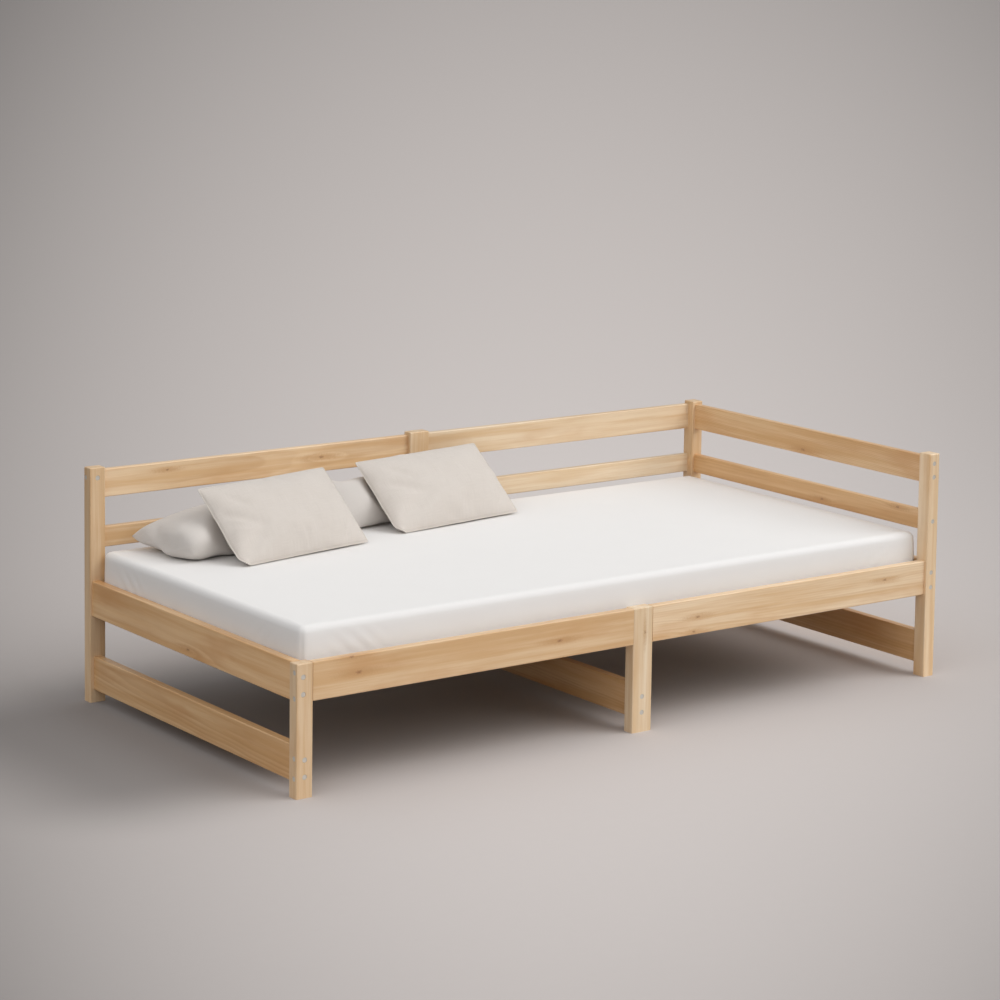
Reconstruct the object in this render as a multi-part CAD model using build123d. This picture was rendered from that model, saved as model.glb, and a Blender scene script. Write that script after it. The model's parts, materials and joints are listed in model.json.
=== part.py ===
from build123d import *
import math
import os

# A slatted pine daybed, open at the front and at the left end, with a low railed back and
# a railed arm at the right end.  It stands on six posts.  Millimetres, +Z up.
# The origin is the centre of its footprint on the floor: -X is the open end, +X the arm
# end, -Y the front and +Y the back.

# ---- driving sizes -------------------------------------------------------------------------
MATTRESS_LENGTH = 1998.0
MATTRESS_WIDTH = 994.0
MATTRESS_HEIGHT = 140.0
MATTRESS_GAP_X = 4.5          # free space at each end of the mattress
MATTRESS_GAP_Y = 4.0          # free space along each side, beside the posts
MATTRESS_CORNER_R = 24.0
MATTRESS_EDGE_R = 18.0
SHEET_THICKNESS = 1.0
SHEET_SLACK = 0.5             # between the sheet and the sides of the mattress
SHEET_TUCK = 90.0             # width of the hem that is folded under the mattress

POST_HEIGHT = 630.0
LEFT_POST_WIDTH = 45.0
MIDDLE_POST_WIDTH = 63.0
RIGHT_POST_WIDTH = 38.0
POST_DEPTH = 34.0
RIGHT_POST_PROUD = 8.0        # the right posts are this much deeper than the others
POST_ARRIS_R = 3.0

BED_RAIL_HEIGHT = 95.0
BED_RAIL_BOTTOM = 233.0
BED_BOARD_THICKNESS = 24.0
STRETCHER_HEIGHT = 90.0
STRETCHER_BOTTOM = 34.0
LEFT_RAIL_SET_IN = 6.0
LEFT_STRETCHER_SET_IN = 11.0
UPPER_RAIL_HEIGHT = 75.0
LOWER_RAIL_HEIGHT = 55.0
RAIL_GAP = 79.0               # open space between the upper and the lower rail
RAIL_DROP = 9.0               # from the top of a tall post down to the upper rail
RAIL_THICKNESS = 20.0
BOARD_ARRIS_R = 3.0

BATTEN_WIDTH = 22.0
BATTEN_HEIGHT = 18.0
BATTEN_GAP = 1.0              # between the end of a batten and the post beside it
SLAT_WIDTH = 68.0
SLAT_THICKNESS = 14.0
SLAT_GAP = 2.0                # between the end of a slat and the bed rail
SLATS_PER_BAY = 7
SLAT_ARRIS_R = 1.5
CROSS_BAR_WIDTH = 60.0

BOLT_R = 3.0
BOLT_HEAD_R = 6.2
BOLT_HEAD_HEIGHT = 2.9
BOLT_HEAD_ROUND = 0.8
CAP_RECESS = 0.6              # a cap lies this far below the face of its post
BOLT_CAP_HEIGHT = 1.6         # the cap that hides a bolt head
SPARE_CAP_HEIGHT = 3.5        # the cap that closes a spare hole
BOLT_PAST_NUT = 9.0
SOCKET_WIDTH = 4.0            # across the flats of the hexagonal socket
SOCKET_DEPTH = 1.7
NUT_R = 5.0
NUT_LENGTH = 14.0
NUT_REACH = 42.0              # from the end of a board to its barrel nut
BORE_CLEARANCE = 0.3          # round a bolt, a bolt head or a barrel nut
THREAD_CLEARANCE = 0.05
BORE_OVERRUN = 1.0            # how far a bore runs past what goes in it
BED_BOLT_DROP = 6.5           # the bolts lie this far below the middle of a deep board
BED_BOLT_SPREAD = 21.0        # bolts through the front and back faces of a post
SIDE_BOLT_SPREAD = 31.5       # bolts through the end face of a post, which pass between those
UPPER_BOLT_SPREAD = 19.0
SIDE_LOWER_BOLT_RISE = 12.0
SPARE_CAP_SPREAD = 24.5

DOWEL_R = 4.0
DOWEL_IN_POST = 14.0
DOWEL_IN_BOARD = 22.0
DOWEL_END_GAP = 1.0
DOWEL_CLEARANCE = 0.1
LOWER_DOWEL_DROP = 16.0

SCREW_R = 1.75
SCREW_HEAD_R = 3.6
SCREW_HEAD_HEIGHT = 2.4
SLAT_SCREW_LENGTH = 28.0
BATTEN_SCREW_LENGTH = 38.0
SCREW_CLEARANCE = 0.05
SCREW_POINT_GAP = 0.5

SOFT_GAP = 0.4                # between soft goods that are lifted off one another
PILLOW_LENGTH = 500.0
# (depth, height, slope) at the left and right of each pillow
PILLOW_LEFT_OUTER = (250.0, 108.0, 80.0)
PILLOW_LEFT_INNER = (205.0, 112.0, 80.0)
PILLOW_RIGHT_OUTER = (150.0, 128.0, 70.0)
PILLOW_RIGHT_INNER = (107.0, 108.0, 92.0)
PILLOW_BACK_GAP = 3.0
PILLOW_EDGE = 12.0            # the blunting of its long edges
PILLOW_TAPER = 60.0           # length of each end that narrows
PILLOW_END_SHARE = 0.5        # size of an end face against the middle of the pillow
PILLOW_END_RISE = 0.4
PILLOW_LEFT_FROM_END = 117.0  # from the outside of the left end to the pillow
PILLOW_APART = 16.0
CUSHION_WIDTH = 440.0
CUSHION_HEIGHT = 254.0
CUSHION_THICKNESS = 96.0
CUSHION_RIM = 12.0
CUSHION_CROWN_INSET = 72.0    # from the rim to the flat of the crown
# from the left end of its pillow, and from the front of the back posts, to its middle
CUSHION_LEFT_PLACE = (322.5, 253.0)
CUSHION_RIGHT_PLACE = (384.5, 133.0)
CUSHION_LEFT_YAW = 11.0
CUSHION_RIGHT_YAW = 6.0
CUSHION_LEFT_LEAN = 44.0      # from upright
CUSHION_RIGHT_LEAN = 48.0

# ---- places that follow from them ----------------------------------------------------------
LENGTH = (LEFT_RAIL_SET_IN + BED_BOARD_THICKNESS + MATTRESS_LENGTH + 2 * MATTRESS_GAP_X
          + RIGHT_POST_WIDTH)
DEPTH = RIGHT_POST_PROUD + 2 * POST_DEPTH + MATTRESS_WIDTH + 2 * MATTRESS_GAP_Y
LEFT = -LENGTH / 2
RIGHT = LENGTH / 2
FRONT = -DEPTH / 2
BACK = DEPTH / 2
RAIL_FRONT = FRONT + RIGHT_POST_PROUD
FRONT_POSTS_IN = RAIL_FRONT + POST_DEPTH
BACK_POSTS_IN = BACK - POST_DEPTH
RIGHT_POSTS_IN = RIGHT - RIGHT_POST_WIDTH
LEFT_POSTS_IN = LEFT + LEFT_POST_WIDTH
BAY = (RIGHT_POSTS_IN - LEFT_POSTS_IN - MIDDLE_POST_WIDTH) / 2
MIDDLE_LEFT = LEFT_POSTS_IN + BAY
MIDDLE_RIGHT = MIDDLE_LEFT + MIDDLE_POST_WIDTH
MIDDLE_X = (MIDDLE_LEFT + MIDDLE_RIGHT) / 2
BED_RAIL_TOP = BED_RAIL_BOTTOM + BED_RAIL_HEIGHT
STRETCHER_TOP = STRETCHER_BOTTOM + STRETCHER_HEIGHT
UPPER_TOP = POST_HEIGHT - RAIL_DROP
UPPER_BOTTOM = UPPER_TOP - UPPER_RAIL_HEIGHT
LOWER_TOP = UPPER_BOTTOM - RAIL_GAP
LOWER_BOTTOM = LOWER_TOP - LOWER_RAIL_HEIGHT
BATTEN_TOP = BED_RAIL_BOTTOM + BATTEN_HEIGHT
SLAT_TOP = BATTEN_TOP + SLAT_THICKNESS
MATTRESS_BOTTOM = SLAT_TOP + SHEET_THICKNESS
MATTRESS_TOP = MATTRESS_BOTTOM + MATTRESS_HEIGHT
BED_TOP = MATTRESS_TOP + SHEET_THICKNESS
MATTRESS_X = LEFT + LEFT_RAIL_SET_IN + BED_BOARD_THICKNESS + MATTRESS_GAP_X + MATTRESS_LENGTH / 2
MATTRESS_Y = FRONT_POSTS_IN + MATTRESS_GAP_Y + MATTRESS_WIDTH / 2

FRONT_RAIL_Y = RAIL_FRONT + BED_BOARD_THICKNESS / 2
BACK_BED_RAIL_Y = BACK - BED_BOARD_THICKNESS / 2
BACK_RAIL_Y = BACK - RAIL_THICKNESS / 2
BACK_RAIL_FACE = BACK - RAIL_THICKNESS
LEFT_RAIL_X = LEFT + LEFT_RAIL_SET_IN + BED_BOARD_THICKNESS / 2
LEFT_STRETCHER_X = LEFT + LEFT_STRETCHER_SET_IN + BED_BOARD_THICKNESS / 2
ARM_X = RIGHT - RIGHT_POST_WIDTH / 2

X_AXIS = Vector(1, 0, 0)
Y_AXIS = Vector(0, 1, 0)
Z_AXIS = Vector(0, 0, 1)

pieces = {}                   # finished solids, by the name of their node
cuts = {}                     # bores to be taken out of each wooden piece


# ---- plain shapes ----------------------------------------------------------------------------
def block(low, high):
    size = [b - a for a, b in zip(low, high)]
    middle = [(a + b) / 2 for a, b in zip(low, high)]
    return Pos(*middle) * Box(*size)


def rod(start, direction, length, radius):
    plane = Plane(origin=start, z_dir=direction)
    return extrude(plane * Circle(radius), amount=length)


def timber(name, low, high, along, arris):
    """A planed board with its long arrises rounded."""
    board = block(low, high)
    pieces[name] = fillet(board.edges().filter_by(along), arris)
    cuts[name] = []


def post(name, low, high):
    """A post with rounded arrises on its sides and round its top."""
    body = block(low, high)
    rounded = body.edges().filter_by(Axis.Z) + body.faces().sort_by(Axis.Z)[-1].edges()
    pieces[name] = fillet(rounded, POST_ARRIS_R)
    cuts[name] = []


# ---- fasteners -------------------------------------------------------------------------------
bolts = {"left": [], "middle": [], "right": []}
nuts = {"left": [], "middle": [], "right": []}
studs = []
dowels = []
caps = []
slat_screws = []
batten_screws = []


def barrel_nut(group, board, seat, direction, bore_side):
    """A barrel nut in a cross bore that opens on one face of the board."""
    across = board_thickness(board)
    nut = rod(seat - bore_side * (NUT_LENGTH / 2), bore_side, NUT_LENGTH, NUT_R)
    thread = rod(seat - direction * (2 * NUT_R), direction, 4 * NUT_R, BOLT_R + THREAD_CLEARANCE)
    nuts[group].append(nut - thread)
    depth = NUT_LENGTH / 2 + BORE_CLEARANCE + across / 2 + BORE_OVERRUN
    start = seat - bore_side * (NUT_LENGTH / 2 + BORE_CLEARANCE)
    cuts[board].append(rod(start, bore_side, depth, NUT_R + BORE_CLEARANCE))


def board_thickness(board):
    size = pieces[board].bounding_box().size
    return min(size.X, size.Y)


def bolt_joint(group, post_name, board, outside, direction, post_depth, bore_side):
    """A capped socket-head bolt through a post into a barrel nut in the end of a board."""
    cap(post_name, outside, direction, BOLT_CAP_HEIGHT)
    head_face = outside + direction * (CAP_RECESS + BOLT_CAP_HEIGHT)
    seat = head_face + direction * BOLT_HEAD_HEIGHT
    joint = outside + direction * post_depth
    nut_place = joint + direction * NUT_REACH
    tip = nut_place + direction * BOLT_PAST_NUT
    head = rod(head_face, direction, BOLT_HEAD_HEIGHT, BOLT_HEAD_R)
    head_rim = head.edges().filter_by(GeomType.CIRCLE).sort_by(Axis(outside, direction))[0]
    head = fillet(head_rim, BOLT_HEAD_ROUND)
    shank = rod(seat, direction, (tip - seat).length, BOLT_R)
    socket_plane = Plane(origin=head_face, z_dir=direction)
    socket = extrude(socket_plane * RegularPolygon(SOCKET_WIDTH / 2, 6, major_radius=False),
                     amount=SOCKET_DEPTH)
    bolts[group].append(head + shank - socket)
    cuts[post_name].append(rod(head_face, direction, BOLT_HEAD_HEIGHT,
                               BOLT_HEAD_R + BORE_CLEARANCE))
    cuts[post_name].append(rod(outside, direction, post_depth, BOLT_R + BORE_CLEARANCE))
    cuts[board].append(rod(joint, direction, NUT_REACH + BOLT_PAST_NUT + BORE_OVERRUN,
                           BOLT_R + BORE_CLEARANCE))
    barrel_nut(group, board, nut_place, direction, bore_side)


def stud_joint(left_board, right_board, y, z):
    """A threaded stud through a middle post, with a barrel nut in each board."""
    reach = NUT_REACH + BOLT_PAST_NUT
    start = Vector(MIDDLE_LEFT - reach, y, z)
    length = MIDDLE_POST_WIDTH + 2 * reach
    studs.append(rod(start, X_AXIS, length, BOLT_R))
    middle_post = "post_front_middle" if y < 0 else "post_back_middle"
    bore = rod(start - X_AXIS * BORE_OVERRUN, X_AXIS, length + 2 * BORE_OVERRUN,
               BOLT_R + BORE_CLEARANCE)
    for name in (left_board, middle_post, right_board):
        cuts[name].append(bore)
    barrel_nut("middle", left_board, Vector(MIDDLE_LEFT - NUT_REACH, y, z), X_AXIS, Y_AXIS)
    barrel_nut("middle", right_board, Vector(MIDDLE_RIGHT + NUT_REACH, y, z), X_AXIS, Y_AXIS)


def dowel_joint(post_name, board, joint, direction):
    """A wooden dowel across the joint between a post and the end of a board."""
    start = joint - direction * DOWEL_IN_POST
    dowels.append(rod(start, direction, DOWEL_IN_POST + DOWEL_IN_BOARD, DOWEL_R))
    bore = rod(start - direction * DOWEL_END_GAP, direction,
               DOWEL_IN_POST + DOWEL_IN_BOARD + 2 * DOWEL_END_GAP, DOWEL_R + DOWEL_CLEARANCE)
    cuts[post_name].append(bore)
    cuts[board].append(bore)


def cap(post_name, outside, direction, height):
    """A round grey cap, just below the face of a post."""
    caps.append(rod(outside + direction * CAP_RECESS, direction, height, BOLT_HEAD_R))
    cuts[post_name].append(rod(outside, direction, CAP_RECESS + height,
                               BOLT_HEAD_R + BORE_CLEARANCE))


def screw(top, direction, length):
    head = Plane(origin=top, z_dir=direction) * Circle(SCREW_HEAD_R)
    neck = Plane(origin=top + direction * SCREW_HEAD_HEIGHT, z_dir=direction) * Circle(SCREW_R)
    return loft([head, neck]) + rod(top + direction * SCREW_HEAD_HEIGHT, direction,
                                    length - SCREW_HEAD_HEIGHT, SCREW_R)


def screw_bore(top, direction, length):
    wide = SCREW_CLEARANCE
    head = Plane(origin=top, z_dir=direction) * Circle(SCREW_HEAD_R + wide)
    neck = Plane(origin=top + direction * (SCREW_HEAD_HEIGHT + wide), z_dir=direction)
    return loft([head, neck * Circle(SCREW_R + wide)]) + rod(
        top + direction * SCREW_HEAD_HEIGHT, direction,
        length - SCREW_HEAD_HEIGHT + SCREW_POINT_GAP, SCREW_R + wide)


# ---- the frame -------------------------------------------------------------------------------
def make_posts():
    right_front = (RIGHT_POSTS_IN, FRONT, 0)
    post("post_front_left", (LEFT, RAIL_FRONT, 0), (LEFT_POSTS_IN, FRONT_POSTS_IN, BED_RAIL_TOP))
    post("post_front_middle", (MIDDLE_LEFT, RAIL_FRONT, 0),
         (MIDDLE_RIGHT, FRONT_POSTS_IN, BED_RAIL_TOP))
    post("post_front_right", right_front, (RIGHT, FRONT_POSTS_IN, POST_HEIGHT))
    post("post_back_left", (LEFT, BACK_POSTS_IN, 0), (LEFT_POSTS_IN, BACK, POST_HEIGHT))
    post("post_back_middle", (MIDDLE_LEFT, BACK_POSTS_IN, 0), (MIDDLE_RIGHT, BACK, POST_HEIGHT))
    post("post_back_right", (RIGHT_POSTS_IN, BACK_POSTS_IN - RIGHT_POST_PROUD, 0),
         (RIGHT, BACK, POST_HEIGHT))


def long_board(name, bay, y, thickness, bottom, top):
    """A board along the bed, between two posts of one bay."""
    start, end = {"left": (LEFT_POSTS_IN, MIDDLE_LEFT),
                  "right": (MIDDLE_RIGHT, RIGHT_POSTS_IN)}[bay]
    timber(name, (start, y - thickness / 2, bottom), (end, y + thickness / 2, top),
           Axis.X, BOARD_ARRIS_R)


def cross_board(name, x, thickness, bottom, top, back=BACK_POSTS_IN):
    """A board from a front post to a back post."""
    timber(name, (x - thickness / 2, FRONT_POSTS_IN, bottom), (x + thickness / 2, back, top),
           Axis.Y, BOARD_ARRIS_R)


def make_boards():
    bed = (BED_BOARD_THICKNESS, BED_RAIL_BOTTOM, BED_RAIL_TOP)
    low = (BED_BOARD_THICKNESS, STRETCHER_BOTTOM, STRETCHER_TOP)
    upper = (RAIL_THICKNESS, UPPER_BOTTOM, UPPER_TOP)
    lower = (RAIL_THICKNESS, LOWER_BOTTOM, LOWER_TOP)
    for bay in ("left", "right"):
        long_board("front_rail_" + bay, bay, FRONT_RAIL_Y, *bed)
        long_board("back_bed_rail_" + bay, bay, BACK_BED_RAIL_Y, *bed)
        long_board("back_upper_rail_" + bay, bay, BACK_RAIL_Y, *upper)
        long_board("back_lower_rail_" + bay, bay, BACK_RAIL_Y, *lower)
    arm_back = BACK_POSTS_IN - RIGHT_POST_PROUD
    cross_board("left_end_rail", LEFT_RAIL_X, *bed)
    cross_board("left_stretcher", LEFT_STRETCHER_X, *low)
    cross_board("middle_stretcher", MIDDLE_X, *low)
    cross_board("middle_cross_bar", MIDDLE_X, CROSS_BAR_WIDTH, BED_RAIL_BOTTOM, BATTEN_TOP)
    cross_board("right_end_rail", ARM_X, *bed, back=arm_back)
    cross_board("right_stretcher", ARM_X, *low, back=arm_back)
    cross_board("arm_upper_rail", ARM_X, *upper, back=arm_back)
    cross_board("arm_lower_rail", ARM_X, *lower, back=arm_back)


def bolt_cross_board(group, front_post, back_post, board, x, heights, front_face, back_depth):
    """Bolts through the front and back posts into both ends of a cross board."""
    for z in heights:
        bolt_joint(group, front_post, board, Vector(x, front_face, z), Y_AXIS,
                   FRONT_POSTS_IN - front_face, X_AXIS)
        bolt_joint(group, back_post, board, Vector(x, BACK, z), -Y_AXIS, back_depth, X_AXIS)


def dowel_cross_board(front_post, back_post, board, places, back_depth):
    for x, z in places:
        dowel_joint(front_post, board, Vector(x, FRONT_POSTS_IN, z), Y_AXIS)
        dowel_joint(back_post, board, Vector(x, BACK - back_depth, z), -Y_AXIS)


def pair(middle, spread):
    return (middle - spread, middle + spread)


def join_cross_boards():
    bed_middle = (BED_RAIL_BOTTOM + BED_RAIL_TOP) / 2 - BED_BOLT_DROP
    low_middle = (STRETCHER_BOTTOM + STRETCHER_TOP) / 2 - BED_BOLT_DROP
    upper_middle = (UPPER_BOTTOM + UPPER_TOP) / 2
    lower_middle = (LOWER_BOTTOM + LOWER_TOP) / 2
    bar_middle = (BED_RAIL_BOTTOM + BATTEN_TOP) / 2
    left = ("post_front_left", "post_back_left")
    middle = ("post_front_middle", "post_back_middle")
    right = ("post_front_right", "post_back_right")
    right_depth = POST_DEPTH + RIGHT_POST_PROUD
    bed_pair = pair(bed_middle, BED_BOLT_SPREAD)
    low_pair = pair(low_middle, BED_BOLT_SPREAD)
    for board, x, heights, dowel_z in (
            ("left_end_rail", LEFT_RAIL_X, bed_pair, bed_middle),
            ("left_stretcher", LEFT_STRETCHER_X, low_pair, low_middle)):
        bolt_cross_board("left", *left, board, x, heights, RAIL_FRONT, POST_DEPTH)
        dowel_cross_board(*left, board, [(x, dowel_z)], POST_DEPTH)
    bolt_cross_board("middle", *middle, "middle_stretcher", MIDDLE_X, low_pair, RAIL_FRONT,
                     POST_DEPTH)
    dowel_cross_board(*middle, "middle_stretcher", [(MIDDLE_X, low_middle)], POST_DEPTH)
    bar_dowels = [(x, bar_middle) for x in pair(MIDDLE_X, CROSS_BAR_WIDTH / 4)]
    dowel_cross_board(*middle, "middle_cross_bar", bar_dowels, POST_DEPTH)
    for board, heights, dowel_z in (
            ("right_end_rail", bed_pair, bed_middle),
            ("arm_upper_rail", pair(upper_middle, UPPER_BOLT_SPREAD), upper_middle),
            ("arm_lower_rail", (lower_middle,), lower_middle - LOWER_DOWEL_DROP)):
        bolt_cross_board("right", *right, board, ARM_X, heights, FRONT, right_depth)
        dowel_cross_board(*right, board, [(ARM_X, dowel_z)], right_depth)
    stretcher_dowels = [(ARM_X, z) for z in low_pair]
    dowel_cross_board(*right, "right_stretcher", stretcher_dowels, right_depth)


def join_long_boards():
    bed_middle = (BED_RAIL_BOTTOM + BED_RAIL_TOP) / 2 - BED_BOLT_DROP
    upper_middle = (UPPER_BOTTOM + UPPER_TOP) / 2
    lower_middle = (LOWER_BOTTOM + LOWER_TOP) / 2
    side_bed = pair(bed_middle, SIDE_BOLT_SPREAD)
    inner_bed = pair(bed_middle, BED_BOLT_SPREAD)
    upper_pair = pair(upper_middle, UPPER_BOLT_SPREAD)
    lower_pair = pair(lower_middle, LOWER_DOWEL_DROP)
    # name, y, heights of left end bolts and dowels, heights of right end bolts and dowels
    table = (
        ("front_rail", FRONT_RAIL_Y, side_bed, (bed_middle,), side_bed, (bed_middle,)),
        ("back_bed_rail", BACK_BED_RAIL_Y, (), inner_bed, side_bed, (bed_middle,)),
        ("back_upper_rail", BACK_RAIL_Y, upper_pair[1:], upper_pair[:1], (upper_middle,),
         upper_pair),
        ("back_lower_rail", BACK_RAIL_Y, (), lower_pair,
         (lower_middle + SIDE_LOWER_BOLT_RISE,), lower_pair[:1]))
    for name, y, left_bolts, left_dowels, right_bolts, right_dowels in table:
        side = "front" if y < 0 else "back"
        left_post, right_post = "post_" + side + "_left", "post_" + side + "_right"
        left_board, right_board = name + "_left", name + "_right"
        for z in left_bolts:
            bolt_joint("left", left_post, left_board, Vector(LEFT, y, z), X_AXIS,
                       LEFT_POST_WIDTH, Y_AXIS)
        for z in right_bolts:
            bolt_joint("right", right_post, right_board, Vector(RIGHT, y, z), -X_AXIS,
                       RIGHT_POST_WIDTH, Y_AXIS)
        for z in left_dowels:
            dowel_joint(left_post, left_board, Vector(LEFT_POSTS_IN, y, z), X_AXIS)
        for z in right_dowels:
            dowel_joint(right_post, right_board, Vector(RIGHT_POSTS_IN, y, z), -X_AXIS)
    for name, y, stud_heights, dowel_heights in (
            ("front_rail", FRONT_RAIL_Y, inner_bed, (bed_middle,)),
            ("back_bed_rail", BACK_BED_RAIL_Y, inner_bed, (bed_middle,)),
            ("back_upper_rail", BACK_RAIL_Y, (upper_middle,), upper_pair),
            ("back_lower_rail", BACK_RAIL_Y, (lower_middle,), lower_pair)):
        middle_post = "post_front_middle" if y < 0 else "post_back_middle"
        for z in stud_heights:
            stud_joint(name + "_left", name + "_right", y, z)
        for z in dowel_heights:
            dowel_joint(middle_post, name + "_left", Vector(MIDDLE_LEFT, y, z), -X_AXIS)
            dowel_joint(middle_post, name + "_right", Vector(MIDDLE_RIGHT, y, z), X_AXIS)


def close_spare_holes():
    low_middle = (STRETCHER_BOTTOM + STRETCHER_TOP) / 2 - BED_BOLT_DROP
    top = (UPPER_BOTTOM + UPPER_TOP) / 2 + UPPER_BOLT_SPREAD
    for z in pair(low_middle, SPARE_CAP_SPREAD):
        cap("post_front_left", Vector(LEFT, FRONT_RAIL_Y, z), X_AXIS, SPARE_CAP_HEIGHT)
    cap("post_back_left", Vector(LEFT + LEFT_POST_WIDTH / 2, BACK_POSTS_IN, top), Y_AXIS,
        SPARE_CAP_HEIGHT)


# ---- the slatted base --------------------------------------------------------------------------
def make_battens():
    bays = {"left": (LEFT_POSTS_IN, MIDDLE_LEFT), "right": (MIDDLE_RIGHT, RIGHT_POSTS_IN)}
    sides = {"front": (RAIL_FRONT + BED_BOARD_THICKNESS, 1, "front_rail_"),
             "back": (BACK - BED_BOARD_THICKNESS, -1, "back_bed_rail_")}
    for side, (face, inward, rail) in sides.items():
        for bay, (start, end) in bays.items():
            name = "batten_" + side + "_" + bay
            inner = face + inward * BATTEN_WIDTH
            low = (start + BATTEN_GAP, min(face, inner), BED_RAIL_BOTTOM)
            high = (end - BATTEN_GAP, max(face, inner), BATTEN_TOP)
            timber(name, low, high, Axis.X, SLAT_ARRIS_R)
            pitch = (end - start) / SLATS_PER_BAY
            for i in range(1, SLATS_PER_BAY):
                top = Vector(start + i * pitch, inner, BED_RAIL_BOTTOM + BATTEN_HEIGHT / 2)
                batten_screws.append(screw(top, Y_AXIS * -inward, BATTEN_SCREW_LENGTH))
                bore = screw_bore(top, Y_AXIS * -inward, BATTEN_SCREW_LENGTH)
                cuts[name].append(bore)
                cuts[rail + bay].append(bore)


def make_slats():
    front = RAIL_FRONT + BED_BOARD_THICKNESS
    back = BACK - BED_BOARD_THICKNESS
    pitch = BAY / SLATS_PER_BAY
    for i in range(2 * SLATS_PER_BAY):
        bay, first = ("left", LEFT_POSTS_IN) if i < SLATS_PER_BAY else ("right", MIDDLE_RIGHT)
        x = first + (i % SLATS_PER_BAY + 0.5) * pitch
        name = "slat_" + str(i + 1).zfill(2)
        timber(name, (x - SLAT_WIDTH / 2, front + SLAT_GAP, BATTEN_TOP),
               (x + SLAT_WIDTH / 2, back - SLAT_GAP, SLAT_TOP), Axis.Y, SLAT_ARRIS_R)
        for side, y in (("front", front + BATTEN_WIDTH / 2), ("back", back - BATTEN_WIDTH / 2)):
            place = Vector(x + SLAT_WIDTH / 4, y, SLAT_TOP)
            slat_screws.append(screw(place, -Z_AXIS, SLAT_SCREW_LENGTH))
            bore = screw_bore(place, -Z_AXIS, SLAT_SCREW_LENGTH)
            cuts[name].append(bore)
            cuts["batten_" + side + "_" + bay].append(bore)


# ---- mattress, sheet, pillows and cushions -------------------------------------------------------
def rounded_slab(length, width, height, corner, edge):
    slab = extrude(RectangleRounded(length, width, corner), amount=height)
    rims = slab.faces().sort_by(Axis.Z)[0].edges() + slab.faces().sort_by(Axis.Z)[-1].edges()
    return fillet(rims, edge)


def make_mattress():
    corner, edge = MATTRESS_CORNER_R, MATTRESS_EDGE_R
    core = rounded_slab(MATTRESS_LENGTH, MATTRESS_WIDTH, MATTRESS_HEIGHT, corner, edge)
    room = rounded_slab(MATTRESS_LENGTH + 2 * SHEET_SLACK, MATTRESS_WIDTH + 2 * SHEET_SLACK,
                        MATTRESS_HEIGHT, corner + SHEET_SLACK, edge)
    wrap = SHEET_SLACK + SHEET_THICKNESS
    cover = rounded_slab(MATTRESS_LENGTH + 2 * wrap, MATTRESS_WIDTH + 2 * wrap,
                         MATTRESS_HEIGHT + 2 * SHEET_THICKNESS, corner + wrap, edge + SHEET_THICKNESS)
    mouth = extrude(RectangleRounded(MATTRESS_LENGTH - 2 * SHEET_TUCK,
                                     MATTRESS_WIDTH - 2 * SHEET_TUCK, corner),
                    amount=MATTRESS_HEIGHT / 2)
    place = Pos(MATTRESS_X, MATTRESS_Y, MATTRESS_BOTTOM)
    pieces["mattress"] = place * core
    hem = Pos(0, 0, -SHEET_THICKNESS)
    pieces["fitted_sheet"] = place * (hem * cover - room - hem * mouth)


def pillow(name, left_end, left_side, right_side):
    """A bed pillow pushed against the back posts, with a sloping front and tapered ends.

    Each side is (depth, height, slope), the slope being how far back the front leans.
    """
    back = BACK_POSTS_IN - PILLOW_BACK_GAP
    bottom = BED_TOP + SOFT_GAP

    def section(x, side, share):
        depth, height, slope = side
        front, top = back - depth, bottom + height
        outline = [(front, bottom), (back, bottom), (back, top - PILLOW_EDGE),
                   (back - PILLOW_EDGE, top), (front + slope, top), (front, bottom + PILLOW_EDGE)]
        middle = ((front + back) / 2, bottom + height * PILLOW_END_RISE)
        outline = [tuple(m + share * (p - m) for p, m in zip(point, middle))
                   for point in outline]
        plane = Plane(origin=(x, 0, 0), x_dir=(0, 1, 0), z_dir=(1, 0, 0))
        return plane * make_face(Polyline(*outline, close=True))

    left_full = section(left_end + PILLOW_TAPER, left_side, 1)
    right_full = section(left_end + PILLOW_LENGTH - PILLOW_TAPER, right_side, 1)
    left_tip = section(left_end, left_side, PILLOW_END_SHARE)
    right_tip = section(left_end + PILLOW_LENGTH, right_side, PILLOW_END_SHARE)
    body = loft([left_tip, left_full]) + loft([left_full, right_full], ruled=True)
    pieces[name] = body + loft([right_full, right_tip])


def cushion(name, middle, yaw, lean):
    """A knife-edged cushion that leans back on its pillow: a crowned, eight-sided lens."""
    rim = RectangleRounded(CUSHION_WIDTH, CUSHION_HEIGHT, CUSHION_RIM)
    crown = RectangleRounded(CUSHION_WIDTH - 2 * CUSHION_CROWN_INSET,
                             CUSHION_HEIGHT - 2 * CUSHION_CROWN_INSET, CUSHION_RIM)
    half_rim, half = CUSHION_RIM / 2, CUSHION_THICKNESS / 2
    body = extrude(Pos(0, 0, -half_rim) * rim, amount=CUSHION_RIM)
    body += loft([Pos(0, 0, half_rim) * rim, Pos(0, 0, half) * crown])
    body += loft([Pos(0, 0, -half_rim) * rim, Pos(0, 0, -half) * crown])
    # the cushion's own +Y runs up its face and its +Z is the front of it
    turn = Rot(0, 0, yaw) * Rot(90 - lean, 0, 0)
    pieces[name] = Pos(*middle) * turn * body


def cushion_middle(x, y, lean):
    """The height at which the lower edge of the cushion just clears the bed."""
    tilt = math.radians(lean)
    drop = CUSHION_HEIGHT / 2 * math.cos(tilt) + CUSHION_RIM / 2 * math.sin(tilt)
    return (x, y, BED_TOP + SOFT_GAP + drop)


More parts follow.
